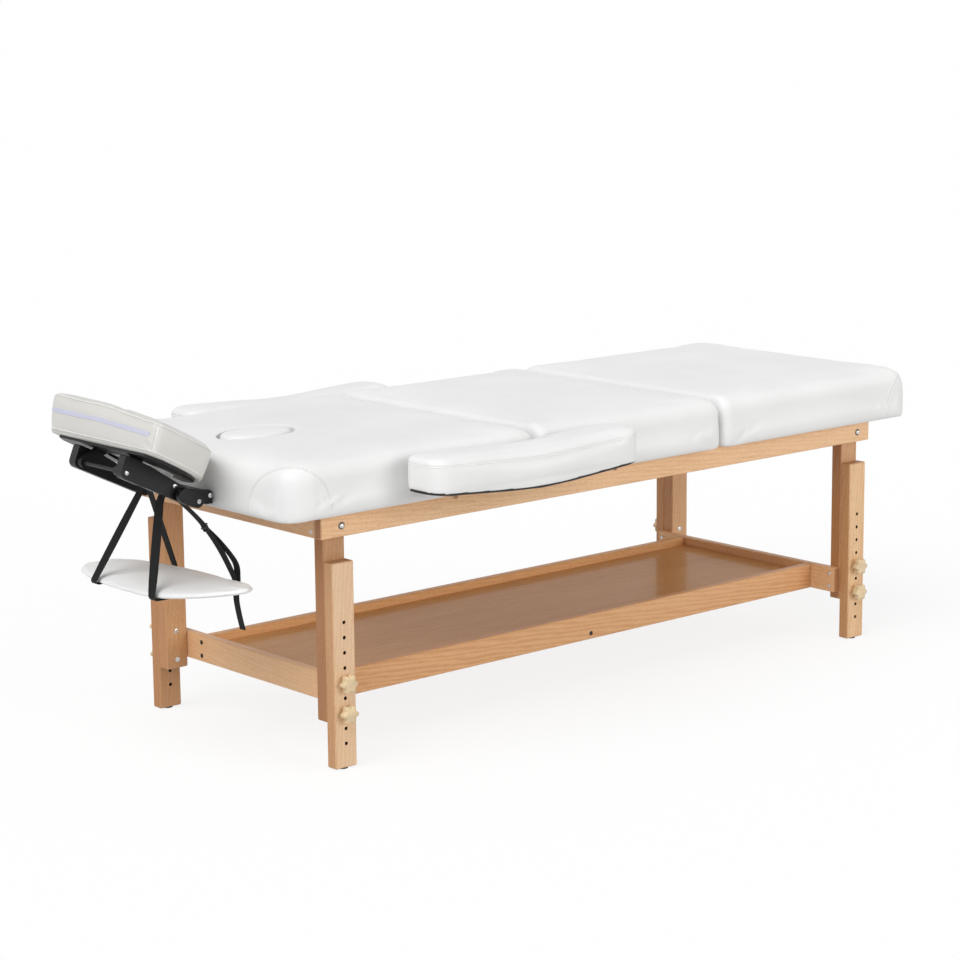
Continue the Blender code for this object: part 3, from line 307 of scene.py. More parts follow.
def fibreboard(name, colour):
    """Painted board with a dusty, fibrous face."""
    finish = Finish(name)
    fibre = finish.noise((60, 400, 400), 4.0, 0.6)
    finish.shades(fibre, colour, 0.7, 1.4)
    finish.rough(fibre, 0.55, 0.8)
    finish.bump(fibre, 0.2, 0.0004)
    return finish.made


def plywood(name, seed):
    """Beech-faced plywood: plain veneer with the layers showing at its edges."""
    finish = Finish(name)
    fibre = finish.noise(1.0, 4.0, 0.6, finish.stretched((6, 150, 40), shift=(seed, seed, 0)))
    layer = finish.bands(finish.place, 0.0036, "Z", Distortion=0.3)
    tone = finish.blended((fibre, 0.7), (layer, 0.3))
    finish.give("Base Color", finish.ramp(tone, (0.3, srgb(186, 146, 108)), (0.7, srgb(224, 190, 152))))
    finish.rough(fibre, 0.5, 0.7)
    finish.bump(fibre, 0.2, 0.0004)
    return finish.made


WHITE = leather("white_leather", (237, 237, 236))
CREAM = leather("cream_leather", (214, 212, 207))
THREAD = leather("pale_thread", (196, 191, 181))
BLACK = moulded("black_plastic", (19, 19, 21), 0.42, Specular_IOR_Level=0.35)
KNOB = moulded("beige_plastic", (222, 198, 158), 0.46, 1200.0, 0.06)
STEEL = steel("steel", (205, 205, 207), 0.20)
DARK_STEEL = steel("dark_steel", (96, 92, 88), 0.34)
WEBBING = weave("black_webbing", (15, 15, 16), 0.0021)
ZIP = weave("lilac_tape", (222, 222, 243), 0.0016)
BOARD = fibreboard("black_board", (30, 30, 31))
# Painted shade: a dark brown that stands in for the shade inside empty holes and screw wells.
PAINTED_BORE_SHADE = fibreboard("painted_bore_shade", (38, 26, 18))


def give_finish(piece, made):
    piece.data.materials.clear()
    piece.data.materials.append(made)


# Each member's tint over the beech. The front head post and the rear head post and leg are darkened with
# painted shade. The front side rail is brightened with painted light. The rear apron's tint is partly its own
# orange tone and partly painted light.
WOOD = {
    "side_rail_front": ("X", 1, (1.08, 1.0, 0.89)), "side_rail_rear": ("X", 2, (1.0, 0.95, 0.88)),
    "end_rail_head": ("Y", 3, (1.0, 0.91, 0.80)), "end_rail_foot": ("Y", 4, (1.0, 0.92, 0.82)),
    "stretcher_head": ("Y", 5, (1.04, 0.92, 0.78)), "stretcher_foot": ("Y", 6, (1.0, 0.87, 0.71)),
    "post_front_head": ("Z", 7, (0.66, 0.53, 0.41)), "post_rear_head": ("Z", 8, (0.84, 0.69, 0.53)),
    "post_front_foot": ("Z", 9, (0.80, 0.66, 0.52)), "post_rear_foot": ("Z", 10, (0.90, 0.78, 0.64)),
    "leg_front_head": ("Z", 11, (0.95, 0.93, 0.90)), "leg_rear_head": ("Z", 12, (0.78, 0.63, 0.47)),
    "leg_front_foot": ("Z", 13, (0.98, 0.93, 0.82)), "leg_rear_foot": ("Z", 14, (0.96, 0.86, 0.72)),
    "shelf_apron_front": ("X", 15, (0.89, 0.68, 0.48)), "shelf_apron_rear": ("X", 16, (1.0, 0.82, 0.58)),
}
for name, (axis, seed, tint) in WOOD.items():
    figure = 0.34 if name == "shelf_apron_front" else 0.14
    give_finish(nodes[name], beech("beech_" + name, axis, seed, tint, figure))
give_finish(nodes["shelf_panel"], beech("lacquered_beech", "X", 17, (0.90, 0.73, 0.47), 0.26, (0.24, 0.34),
                                        IOR=1.08, Coat_Weight=0.12, Coat_Roughness=0.05))
for index, (side, _) in enumerate(SIDES):
    give_finish(nodes[f"armrest_board_{side}"], BOARD)
    for end, _ in ENDS:
        give_finish(nodes[f"armrest_peg_{side}_{end}"], beech(f"beech_peg_{side}_{end}", "Y", 20 + index))
        give_finish(nodes[f"glide_{side}_{end}"], BLACK)
    give_finish(nodes[f"cradle_arm_{side}"], BLACK)
    give_finish(nodes[f"cradle_rod_{side}"], STEEL)
for index, section in enumerate(("head", "middle", "foot")):
    give_finish(nodes[f"{section}_base"], plywood(f"plywood_{section}", index))
for name in ("cradle_base", "cam_lever", "cradle_platform", "sling_buckle", "cradle_tilt_pin", "sling_bar"):
    give_finish(nodes[name], BLACK)
give_finish(nodes["cradle_pivot_shaft"], STEEL)


# Mesh tools
def new_object(name, mesh):
    made = bpy.data.objects.new(name, mesh)
    scene.collection.objects.link(made)
    return made


def from_bmesh(name, bm):
    mesh = bpy.data.meshes.new(name)
    bmesh.ops.recalc_face_normals(bm, faces=bm.faces)
    bm.to_mesh(mesh)
    bm.free()
    return new_object(name, mesh)


def points_of(mesh):
    found = np.empty(3 * len(mesh.vertices))
    mesh.vertices.foreach_get("co", found)
    return found.reshape(-1, 3)


def set_points(mesh, points):
    mesh.vertices.foreach_set("co", np.asarray(points).ravel())
    mesh.update()


def shaped(piece):
    """A piece with its modifiers at work."""
    return piece.evaluated_get(bpy.context.evaluated_depsgraph_get())


def evaluated(piece):
    """Swap a piece's mesh for what its modifiers make of it."""
    mesh = bpy.data.meshes.new_from_object(shaped(piece))
    piece.modifiers.clear()
    old, piece.data = piece.data, mesh
    bpy.data.meshes.remove(old)


def remesh(piece, voxel):
    modifier = piece.modifiers.new("voxels", "REMESH")
    modifier.mode = "VOXEL"
    modifier.voxel_size = voxel
    evaluated(piece)


def relax(piece, rounds):
    """Even out a mesh by moving each point towards the middle of its neighbours."""
    mesh = piece.data
    points = points_of(mesh)
    edges = np.empty(2 * len(mesh.edges), dtype=int)
    mesh.edges.foreach_get("vertices", edges)
    first, second = edges.reshape(-1, 2).T
    count = np.bincount(edges, minlength=len(points))[:, None]
    for _ in range(rounds):
        total = np.zeros_like(points)
        np.add.at(total, first, points[second])
        np.add.at(total, second, points[first])
        points += (total / count - points) / 2
    set_points(mesh, points)


SWELL_STEPS, PRESSURE = 20, 3.0


def swell(piece, held, pressure, cap):
    """Blow a closed form up by cloth simulation: held gives pin weights, cap how far a point may move."""
    mesh = piece.data
    before = points_of(mesh)
    group = piece.vertex_groups.new(name="held")
    for index, weight in enumerate(held(before)):
        if weight > 0.01:
            group.add([index], float(weight), "REPLACE")
    cloth = piece.modifiers.new("swell", "CLOTH")
    settings = cloth.settings
    settings.quality = 4
    settings.mass = 0.2
    settings.tension_stiffness = settings.compression_stiffness = 18
    settings.shear_stiffness = 6
    settings.bending_stiffness = 1.0
    settings.use_pressure = True
    settings.uniform_pressure_force = pressure
    settings.effector_weights.gravity = 0
    settings.vertex_group_mass = group.name
    cloth.point_cache.frame_start = 1
    cloth.point_cache.frame_end = SWELL_STEPS
    for step in range(1, SWELL_STEPS + 1):
        scene.frame_set(step)
    move = points_of(shaped(piece).data) - before
    piece.modifiers.remove(cloth)
    piece.vertex_groups.clear()
    scene.frame_set(1)
    length = np.linalg.norm(move, axis=1, keepdims=True) + 1e-9
    set_points(mesh, before + move * cap * np.tanh(length / cap) / length)


def cut(piece, tool):
    """Cut a tool out of a piece."""
    modifier = piece.modifiers.new(tool.name, "BOOLEAN")
    modifier.operation = "DIFFERENCE"
    modifier.solver = "EXACT"
    modifier.object = tool
    evaluated(piece)
    mesh = tool.data
    bpy.data.objects.remove(tool)
    bpy.data.meshes.remove(mesh)


def cylinder(place, radius, height, sides):
    bm = bmesh.new()
    bmesh.ops.create_cone(bm, cap_ends=True, segments=sides, radius1=radius, radius2=radius, depth=height,
                          matrix=place)
    return bm


def rod(start, end, radius, sides=16):
    axis = end - start
    turn = Vector((0, 0, 1)).rotation_difference(axis)
    return cylinder(Matrix.LocRotScale((start + end) / 2, turn, None), radius, axis.length, sides)


def joined(shapes):
    bm = bmesh.new()
    for shape in shapes:
        held = bpy.data.meshes.new("held")
        shape.to_mesh(held)
        shape.free()
        bm.from_mesh(held)
        bpy.data.meshes.remove(held)
    return bm


def full_turn(count):
    """Even steps round a full turn."""
    return [tau * step / count for step in range(count)]


def lofted(rings, capped=True):
    """A skin through rings of points, capped at both ends, or else joined end to end."""
    bm = bmesh.new()
    made = [[bm.verts.new(point) for point in ring] for ring in rings]
    count = len(made[0])
    pairs = list(zip(made, made[1:])) + ([] if capped else [(made[-1], made[0])])
    for ring, following in pairs:
        for index in range(count):
            after = (index + 1) % count
            bm.faces.new((ring[index], ring[after], following[after], following[index]))
    if capped:
        bm.faces.new(made[0][::-1])
        bm.faces.new(made[-1])
    return bm


def turned(centre, axis, profile, sides=24, lobes=0, capped=True):
    """A lathe shape on an axis, from rows in millimetres: radius, height and, if any, depth of its lobes."""
    stand = Vector((0, 0, 1)).rotation_difference(Vector(axis)).to_matrix()
    rings = []
    for row in profile:
        radius, height, depth = (value / 1000 for value in (*row, 0)[:3])
        ring = []
        for turn in full_turn(sides):
            reach = radius - depth * ((1 - cos(lobes * turn)) / 2) ** 1.2
            ring.append(centre + stand @ Vector((reach * cos(turn), reach * sin(turn), height)))
        rings.append(ring)
    return lofted(rings, capped)


def trim(piece, body, made, angle=40):
    """The last steps for a piece: smooth shading, finish and body."""
    piece.data.shade_smooth()
    piece.data.set_sharp_from_angle(angle=radians(angle))
    give_finish(piece, made)
    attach(piece, body)
    return piece


def soft(piece, body, replaced, made=WHITE):
    """The last steps for a padded piece; gives its surface, to lay seams on."""
    trim(piece, body, made, 50)
    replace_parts(piece, replaced)
    return BVHTree.FromObject(piece, bpy.context.evaluated_depsgraph_get())


def resampled(points, spacing, closed=False):
    """Points a fixed distance apart along a path."""
    run = list(points) + ([points[0]] if closed else [])
    lengths = np.cumsum([0] + [(b - a).length for a, b in zip(run, run[1:])])
    count = max(2, int(round(lengths[-1] / spacing)) + 1)
    places = np.linspace(0, lengths[-1], count)
    if closed:
        places = places[:-1]
    axes = [np.interp(places, lengths, [point[axis] for point in run]) for axis in range(3)]
    return [Vector(spot) for spot in zip(*axes)]


def curved(points):
    """A smooth path through points."""
    steps = 8
    run = [points[0], *points, points[-1]]
    path = []
    for a, b, c, d in zip(run, run[1:], run[2:], run[3:]):
        for step in range(steps):
            t = step / steps
            path.append(0.5 * (2 * b + (c - a) * t + (2 * a - 5 * b + 4 * c - d) * t ** 2
                               + (3 * b - a - 3 * c + d) * t ** 3))
    return path + [points[-1]]


def along_of(path, closed):
    """The direction of a path at each of its points."""
    last = len(path) - 1
    return [(path[(index + 1) % len(path) if closed else min(index + 1, last)]
             - path[index - 1 if closed else max(index - 1, 0)]).normalized() for index in range(len(path))]


def ribbon(path, sides, half_width, half_thick, closed=False):
    """A flat tape along a path, each point with the direction of its width; carries its own weave places."""
    rings, weave_places, run = [], [], 0.0
    edge = 0.4 * half_thick
    quarter = [(half_width, -edge), (half_width, edge), (half_width - edge, half_thick),
               (edge - half_width, half_thick)]
    outline = quarter + [(-x, -z) for x, z in quarter]
    for index, (spot, along, side) in enumerate(zip(path, along_of(path, closed), sides)):
        across = (side - along * side.dot(along)).normalized()
        normal = along.cross(across)
        run += (spot - path[index - 1]).length if index else 0.0
        rings.append([spot + across * x + normal * z for x, z in outline])
        weave_places += [(x, run, 0.0) for x, _ in outline]
    bm = lofted(rings, capped=not closed)
    layer = bm.verts.layers.float_vector.new("weave")
    for vert, place in zip(bm.verts, weave_places):
        vert[layer] = place
    return bm


def laid_on(path, surface):
    """A path's nearest places on a surface, and the surface's directions there."""
    found = [surface.find_nearest(spot)[:2] for spot in path]
    return [spot for spot, _ in found], [normal for _, normal in found]


SEAM_RADIUS, SEAM_STEP, SEAM_SIDES = 0.0011, 0.006, 6
STITCH_STEP, STITCH_OFFSET, STITCH_SIZE = 0.0046, 0.0032, (0.0017, 0.0006, 0.0005)


def seam(name, path, surface, body, closed=False, stitched=True):
    """A raised seam along a path on a soft surface, with a row of stitches beside it."""
    spots, normals = laid_on(resampled(path, SEAM_STEP, closed), surface)
    rings = []
    for spot, along, normal in zip(spots, along_of(spots, closed), normals):
        across = along.cross(normal).normalized()
        rings.append([spot + SEAM_RADIUS * (cos(turn) * normal + sin(turn) * across)
                      for turn in full_turn(SEAM_SIDES)])
    trim(from_bmesh(name, lofted(rings, capped=not closed)), body, WHITE)
    if not stitched:
        return
    rows = bmesh.new()
    spots, normals = laid_on(resampled(path, STITCH_STEP, closed), surface)
    for here, there, normal in zip(spots, spots[1:], normals):
        along = (there - here).normalized()
        across = normal.cross(along).normalized()
        turn = Matrix((along, across, normal)).transposed().to_quaternion()
        place = Matrix.LocRotScale(here.lerp(there, 0.5) + across * STITCH_OFFSET, turn, STITCH_SIZE)
        bmesh.ops.create_icosphere(rows, subdivisions=1, radius=1, matrix=place)
    trim(from_bmesh(name + "_stitches", rows), body, THREAD)


def rounded_rectangle(x_low, x_high, half, corners, long_steps=6, bulge=0.0):
    """A ring of (x, y) places round a rectangle, with its low and high corners rounded."""
    low, high = corners
    centres = ((x_high - high, high - half, high), (x_high - high, half - high, high),
               (x_low + low, half - low, low), (x_low + low, low - half, low))
    arcs = []
    for quarter, (x, y, radius) in enumerate(centres):
        turns = [radians(90 * (quarter - 1) + 11.25 * step) for step in range(9)]
        arcs.append([(x + radius * cos(turn), y + radius * sin(turn)) for turn in turns])
    ring = []
    for arc, following, (out_x, out_y) in zip(arcs, arcs[1:] + arcs[:1], ((1, 0), (0, 1), (-1, 0), (0, -1))):
        ring += arc
        (x, y), (end_x, end_y) = arc[-1], following[0]
        for step in range(1, long_steps):
            share = step / long_steps
            out = bulge * sin(pi * share)
            ring.append((x + (end_x - x) * share + out_x * out, y + (end_y - y) * share + out_y * out))
    return ring


# Padded top
TOP_EDGE, END_EDGE, LIP_EDGE, JOINT_EDGE = 0.031, 0.045, 0.011, 0.026
JOINT_FLARE, SHRINK = 0.030, 0.002
LIP_RISE, LIP_DROP, END_SAG = 0.0035, 0.0030, 0.0045
PLUG_RISE, PLUG_MARGIN = 0.0020, 0.0024


def edge_inset(height, edge):
    """How far in a side with a rounded top edge lies at a height."""
    over = max(0.0, height - (PAD_RIM - edge))
    return edge - sqrt(max(0.0, edge ** 2 - over ** 2))


def pad_form(section, x_low, x_high):
    """A pad's rings from its bottom edge up its sides, over the rounded top edge and on to the crown."""
    levels = [(PAD_BOTTOM, 0.0060, 0), (PAD_BOTTOM + 0.002, 0.0026, 0), (PAD_BOTTOM + 0.006, 0.0004, 0),
              (PAD_BOTTOM + 0.02, 0, 0.0004), (PAD_BOTTOM + 0.05, -0.0010, 0.001)]
    turns = [pi / 2 * step / 10 for step in range(11)]
    levels += [(PAD_RIM - END_EDGE * (1 - sin(turn)), 0, 0) for turn in turns]
    levels += [(PAD_RIM + 0.0016, 0.019, 0), (PAD_RIM + 0.0036, 0.044, 0), (PAD_RIM + 0.0052, 0.074, 0),
               (PAD_RIM + 0.0060, 0.110, 0)]
    low_edge = END_EDGE if section == "head" else LIP_EDGE
    high_edge = END_EDGE if section == "foot" else JOINT_EDGE
    rings = []
    for height, inset, bulge in levels:
        low_inset, high_inset, outer = (inset + edge_inset(min(height, PAD_RIM), edge)
                                        for edge in (low_edge, high_edge, TOP_EDGE))
        flare = JOINT_FLARE * min(1.0, max(0.0, height - PAD_RIM + TOP_EDGE) / TOP_EDGE) ** 2
        corners = [max((PAD_CORNER if section == end else JOINT_CORNER + flare) - outer, 0.004)
                   for end in ("head", "foot")]
        level = height - (SHRINK if height > BOARD_TOP else 0)
        rings.append([at(x, y, level) for x, y in rounded_rectangle(
            x_low + low_inset + SHRINK / 2, x_high - high_inset - SHRINK / 2, TOP_HALF - outer - SHRINK / 2,
            corners, bulge=bulge)])
    return lofted(rings)


def held_below(level, spread=0.006):
    """Pin weights: full under a level, easing off above it."""
    return lambda points: np.clip((level + spread - points[:, 2]) / spread, 0, 1)


def from_hole(points):
    """How far points of the top lie from the face hole's edge, outward positive."""
    x, y = points[:, 0] - SHIFT_X - HOLE_X, points[:, 1]
    reach = np.sqrt((x / (HOLE_LENGTH / 2)) ** 2 + (y / (HOLE_WIDTH / 2)) ** 2) + 1e-9
    return np.hypot(x, y) * (1 - 1 / reach)


def face_hole():
    bottom, top = PAD_BOTTOM - 0.02, PAD_RIM + 0.03
    place = Matrix.LocRotScale(at(HOLE_X, 0, (bottom + top) / 2), None, (HOLE_LENGTH / 2, HOLE_WIDTH / 2, 1))
    return from_bmesh("hole", cylinder(place, 1, top - bottom, 72))


def sink_to_hole(points, depth, width, inner):
    """Round a top down to the face hole's edge, from outside it or from inside."""
    away = from_hole(points) * (-1 if inner else 1)
    near = np.clip(1 - np.maximum(away, 0) / width, 0, 1)
    top = points[:, 2] > PAD_RIM - 0.014
    points[:, 2] -= np.where(top, depth * near ** 2.4, 0)


def board_space(x_low, x_high):
    """The space for a section's board, cut out of its pad."""
    slack = 0.0004
    edge = SKIRT - slack
    outline = rounded_rectangle(x_low + edge, x_high - edge, TOP_HALF - edge, (PAD_CORNER - SKIRT,) * 2)
    return from_bmesh("board_space", lofted([[at(x, y, level) for x, y in outline]
                                             for level in (PAD_BOTTOM - 0.02, BOARD_TOP + slack)]))


def raise_lip(points, section, x_low, x_high):
    """Raise the edge after a split a little, and lower the edge before one."""
    x = points[:, 0] - SHIFT_X
    top = np.clip((points[:, 2] - PAD_RIM + 0.04) / 0.04, 0, 1)
    if section != "head":
        points[:, 2] += LIP_RISE * top * np.exp(-((x - x_low) / 0.030) ** 2)
    if section != "foot":
        points[:, 2] -= LIP_DROP * top * np.exp(-((x - x_high) / 0.035) ** 2)


def hang_end(points, end):
    """Let the cover sag under the board's edge along an outer end of the top."""
    near = np.clip(1 - np.abs(points[:, 0] - SHIFT_X - end) / 0.05, 0, 1) ** 0.6
    low = np.clip(1 - (points[:, 2] - PAD_BOTTOM) / 0.020, 0, 1)
    points[:, 2] -= END_SAG * near * low


def build_pad(section, x_low, x_high):
    pad = from_bmesh(f"{section}_cover", pad_form(section, x_low, x_high))
    remesh(pad, 0.007)
    relax(pad, 3)
    swell(pad, held_below(PAD_BOTTOM + 0.002), PRESSURE, 0.004)
    points = points_of(pad.data)
    raise_lip(points, section, x_low, x_high)
    if section != "middle":
        hang_end(points, TOP_HEAD if section == "head" else TOP_FOOT)
    if section == "head":
        sink_to_hole(points, 0.0042, 0.020, inner=False)
    set_points(pad.data, points)
    if section == "head":
        cut(pad, face_hole())
    cut(pad, board_space(x_low, x_high))
    if section != "foot":
        peg = PEG_X[0] if section == "head" else PEG_X[1]
        bores = [rod(at(peg, y * (TOP_HALF + 0.02), PEG_Z), at(peg, y * PEG_INNER_Y, PEG_Z), PEG_BORE)
                 for _, y in SIDES]
        if section == "head":
            bores += [rod(at(TOP_HEAD - 0.02, y * ROD_Y, ROD_Z), at(ROD_INNER_X, y * ROD_Y, ROD_Z), ROD_BORE)
                      for _, y in SIDES]
        cut(pad, from_bmesh("bores", joined(bores)))
    return soft(pad, "frame", f"{section}_pad")


ARCH = ((0.001, 0.135, 0.533), (0.001, 0.132, 0.571), (0.002, 0.108, 0.604), (0.010, 0.072, 0.630),
        (0.027, 0.036, 0.639), (0.053, 0.012, 0.631), (0.085, 0.002, 0.604), (0.100, 0.001, 0.570),
        (0.101, 0.001, 0.533))


def build_corner_seams(section, surface):
    """The arched seam of the panel sewn in at each outer corner."""
    end, way = (TOP_HEAD, 1) if section == "head" else (TOP_FOOT, -1)
    for side, y in SIDES:
        spots = [at(end + way * along, y * (TOP_HALF - across), height) for along, across, height in ARCH]
        seam(f"corner_seam_{side}_{section}", curved(spots), surface, "frame")


half_gap = SPLIT_GAP / 2
SECTIONS = (("head", TOP_HEAD, SPLITS[0] - half_gap), ("middle", SPLITS[0] + half_gap, SPLITS[1] - half_gap),
            ("foot", SPLITS[1] + half_gap, TOP_FOOT))
for section, low, high in SECTIONS:
    top_surface = build_pad(section, low, high)
    if section != "middle":
        build_corner_seams(section, top_surface)


# Face plug
def build_plug():
    plug = new_object("face_plug_cover", nodes["face_plug"].data.copy())
    remesh(plug, 0.004)
    relax(plug, 3)
    swell(plug, held_below(BOARD_TOP + 0.01), PRESSURE, 0.003)
    points = points_of(plug.data)
    sink_to_hole(points, 0.0050, 0.010, inner=True)
    points[:, 2] += PLUG_RISE * np.clip((points[:, 2] - PAD_RIM + 0.03) / 0.03, 0, 1)
    outside = np.clip(from_hole(points) + PLUG_MARGIN, 0, None)
    away = points[:, :2] - np.array(at(HOLE_X, 0, 0))[:2]
    points[:, :2] -= away * (outside / (np.linalg.norm(away, axis=1) + 1e-9))[:, None]
    set_points(plug.data, points)
    soft(plug, "face_plug", "face_plug")


build_plug()

# Armrests
ARMREST_EDGE = 0.013
ARMREST_SHOWN_BOARD = 0.002
ARMREST_END_WALL = 0.0022


def armrest_under(x):
    """Height of an armrest's underside: two straight ends with a bend between them."""
    at_peg = hypot(PEG_OFFSET, ARMREST_BEND)
    steepness = ARMREST_DIP / (at_peg - ARMREST_BEND)
    return ARMREST_UNDER + steepness * (hypot(x - ARMREST_LOW_X, ARMREST_BEND) - at_peg)


def armrest_top(x):
    thick = ARMREST_THICK * (1 - ARMREST_TAPER * ((x - ARMREST_LOW_X) / PEG_OFFSET) ** 2)
    return armrest_under(x) + ARMREST_BOARD + thick


def armrest_ring(y, inset, over=None, below=None):
    """A ring round an armrest, a height over its underside or a depth below its top."""
    out = ARMREST_END_WALL - inset
    low, high = ARMREST_HEAD - out, ARMREST_HEAD + ARMREST_LENGTH + out
    corner = max(ARMREST_CORNER - inset, 0.006)
    outline = rounded_rectangle(low, high, ARMREST_HALF - inset, (corner, corner), 20)
    return [at(x, y * ARMREST_Y + across, armrest_top(x) - below if over is None else armrest_under(x) + over)
            for x, across in outline]


def build_armrest(side, y):
    rings = [armrest_ring(y, inset, over=over) for over, inset in (
        (ARMREST_SHOWN_BOARD, 0.049), (ARMREST_SHOWN_BOARD, 0.025), (ARMREST_SHOWN_BOARD, 0.0006),
        (0.004, 0.0), (0.012, 0.0), (0.040, -0.0006))]
    for step in range(7):
        turn = pi / 2 * step / 6
        rings.append(armrest_ring(y, ARMREST_EDGE * (1 - cos(turn)),
                                  below=SHRINK + ARMREST_EDGE * (1 - sin(turn))))
    for crown, inset in ((0.0016, 0.024), (0.0026, 0.040)):
        rings.append(armrest_ring(y, inset, below=SHRINK - crown))
    pad = from_bmesh(f"armrest_cover_{side}", lofted(rings))
    remesh(pad, 0.0045)
    relax(pad, 2)
    swell(pad, held_below(ARMREST_UNDER + 0.004), PRESSURE, 0.003)
    points = points_of(pad.data)
    for index in range(3):
        lean = 0.5 * (points[:, 1] - y * ARMREST_Y) * y
        across = (points[:, 0] - SHIFT_X - (ARMREST_LOW_X + 0.030 + 0.016 * index) + lean) / 0.004
        along = (points[:, 1] - y * (ARMREST_Y - 0.020)) / 0.028
        top = points[:, 2] > PAD_RIM - 0.028
        points[:, 2] -= np.where(top, 0.0014 * np.exp(-across ** 2 - along ** 2), 0)
    set_points(pad.data, points)
    outline = [armrest_ring(y, 0.0018, over=over) for over in (-0.02, ARMREST_BOARD + 0.0004)]
    cut(pad, from_bmesh("armrest_board_space", lofted(outline)))
    surface = soft(pad, f"armrest_{side}", f"armrest_pad_{side}")
    seam(f"armrest_seam_{side}", armrest_ring(y, 0.0, below=0.018), surface, f"armrest_{side}", closed=True)


for side_name, side_sign in SIDES:
    build_armrest(side_name, side_sign)

# Face cushion
CUSHION_FRONT_DROP, CUSHION_REAR_RISE = 0.017, 0.005
CUSHION_REAR_LEAN, CUSHION_STEPS, ZIP_UP = 0.010, 38, 0.044
PLANE = Matrix.Translation(at(CUSHION_EDGE[0], 0, CUSHION_EDGE[1])) @ Matrix.Rotation(CUSHION_TILT, 4, "Y")


def outside_rim(x, y):
    """Positive outside the cushion's outline: square at the head end, round beside the table."""
    across = abs(y)
    for centre_x, radius, way in ((CUSHION_LENGTH - CUSHION_ROUND, CUSHION_ROUND, 1),
                                  (CUSHION_CORNER, CUSHION_CORNER, -1)):
        centre_y = CUSHION_HALF - radius
        if way * (x - centre_x) > 0 and across > centre_y:
            return hypot(x - centre_x, across - centre_y) - radius
    return max(-x, x - CUSHION_LENGTH, across - CUSHION_HALF)


def cushion_span(turn):
    """The horseshoe's inner and outer place on a ray from the face opening, at a turn from the head end."""
    ray = Vector((-cos(turn), sin(turn)))
    middle = Vector((OPENING_PLACE, 0))
    inner = middle + Vector((ray.x * OPENING_LENGTH / 2, ray.y * OPENING_WIDTH / 2))
    near, far = 0.0, 0.4
    for _ in range(30):
        reach = (near + far) / 2
        if outside_rim(*(middle + ray * reach)) > 0:
            far = reach
        else:
            near = reach
    return inner, middle + ray * near


def cushion_place(turn, across, up, full=1.0):
    """A place in the cushion: across from its inner wall, 0, to its outer, 1, and up from its underside."""
    inner, outer = cushion_span(turn)
    middle = (inner + outer) / 2
    spot = middle + (outer - inner) * (across - 0.5) * full
    spot.x -= CUSHION_LEAN * (1 + cos(turn)) / 2 * up
    raised = up / CUSHION_THICK * spot.y / CUSHION_HALF
    rise = CUSHION_REAR_RISE if raised > 0 else CUSHION_FRONT_DROP
    twist = Vector((-CUSHION_REAR_LEAN * max(raised, 0), 0, rise * raised))
    return PLANE @ Vector((spot.x, spot.y, up)) + twist


def build_cushion():
    rings = []
    thick = CUSHION_THICK - 0.001
    for step in range(-CUSHION_STEPS, CUSHION_STEPS + 1):
        turn = radians(CUSHION_SWEEP * step / CUSHION_STEPS)
        inner, outer = cushion_span(turn)
        width = (outer - inner).length
        full = {0: 0.7, 1: 0.93}.get(CUSHION_STEPS - abs(step), 1.0)
        wall = [(0.0, 0.0), (-0.001, 0.012), (-0.002, 0.030), (-0.002, thick - 0.018), (0.000, thick - 0.006),
                (0.006, thick), (0.020, thick + 0.002), (0.40 * width, thick + 0.003)]
        section = [(place / width, up) for place, up in wall]
        section += [(1 - across, up) for across, up in reversed(section)]
        rings.append([cushion_place(turn, across, up, full) for across, up in section])
    cushion = from_bmesh("face_cushion_cover", lofted(rings))
    remesh(cushion, 0.0045)
    relax(cushion, 2)

    def held(points):
        level = (np.array(PLANE.inverted())[:3] @ np.c_[points, np.ones(len(points))].T)[2]
        return np.clip((0.008 - level) / 0.005, 0, 1)

    swell(cushion, held, PRESSURE, 0.003)
    surface = soft(cushion, "cradle_platform", "face_cushion", CREAM)
    for name, across, up in (("top", 0.985, thick - 0.003), ("bottom", 1.0, 0.009)):
        path = [cushion_place(radians(turn), across, up) for turn in range(-140, 141, 4)]
        seam(f"cushion_seam_{name}", path, surface, "cradle_platform")
    for name, turn in (("front", -58), ("rear", 58)):
        path = [cushion_place(radians(turn), 1.0, up / 1000) for up in range(10, 76, 6)]
        seam(f"cushion_end_seam_{name}", path, surface, "cradle_platform")
    zip_path = [cushion_place(radians(turn), 1.0, ZIP_UP) for turn in range(-55, 78, 2)]
    spots, normals = laid_on(resampled(zip_path, SEAM_STEP), surface)
    sides = [along.cross(normal) for along, normal in zip(along_of(spots, False), normals)]
    tape = ribbon([spot + normal * 0.0004 for spot, normal in zip(spots, normals)], sides, 0.0042, 0.0008)
    trim(from_bmesh("cushion_zip", tape), "cradle_platform", ZIP)


build_cushion()


# Arm sling
def hull(points):
    """The convex outline round some (x, z) points, in order."""
    ordered = sorted(points)
    outline = []
    for run in (ordered, ordered[::-1]):
        kept = []
        for x, z in run:
            while len(kept) > 1:
                (ax, az), (bx, bz) = kept[-2:]
                if (bx - ax) * (z - az) > (bz - az) * (x - ax):
                    break
                kept.pop()
            kept.append((x, z))
        outline += kept[:-1]
    return outline


FACING = Vector((-0.75, 0.66, 0))


def strap_side(spot, turn):
    """The direction of a strap's width: along the bar, or turned to the front on its way to the leaf."""
    share = min(1.0, max(0.0, (BAR_Z - spot.z) / (BAR_Z - LEAF_Z)))
    return Vector((0, 1, 0)).lerp(FACING, turn * sin(pi * share) ** 0.7).normalized()


def circle(x, z, radius):
    return [(x + radius * cos(turn), z + radius * sin(turn)) for turn in full_turn(20)]


def webbing(name, path, turns, closed=False):
    sides = [strap_side(spot, turn) for spot, turn in zip(path, turns)]
    tape = ribbon(path, sides, STRAP_HALF, STRAP_THICK / 2, closed)
    return trim(from_bmesh(name, tape), "arm_sling", WEBBING, 30)


def leaf_edges(y):
    """The least and greatest X of the leaf at a strap's foot."""
    ring = [leaf_place(turn, LEAF_Z) for turn in full_turn(240)]
    under = [spot.x for spot in ring if abs(spot.y - y) < STRAP_HALF]
    return min(under), max(under)


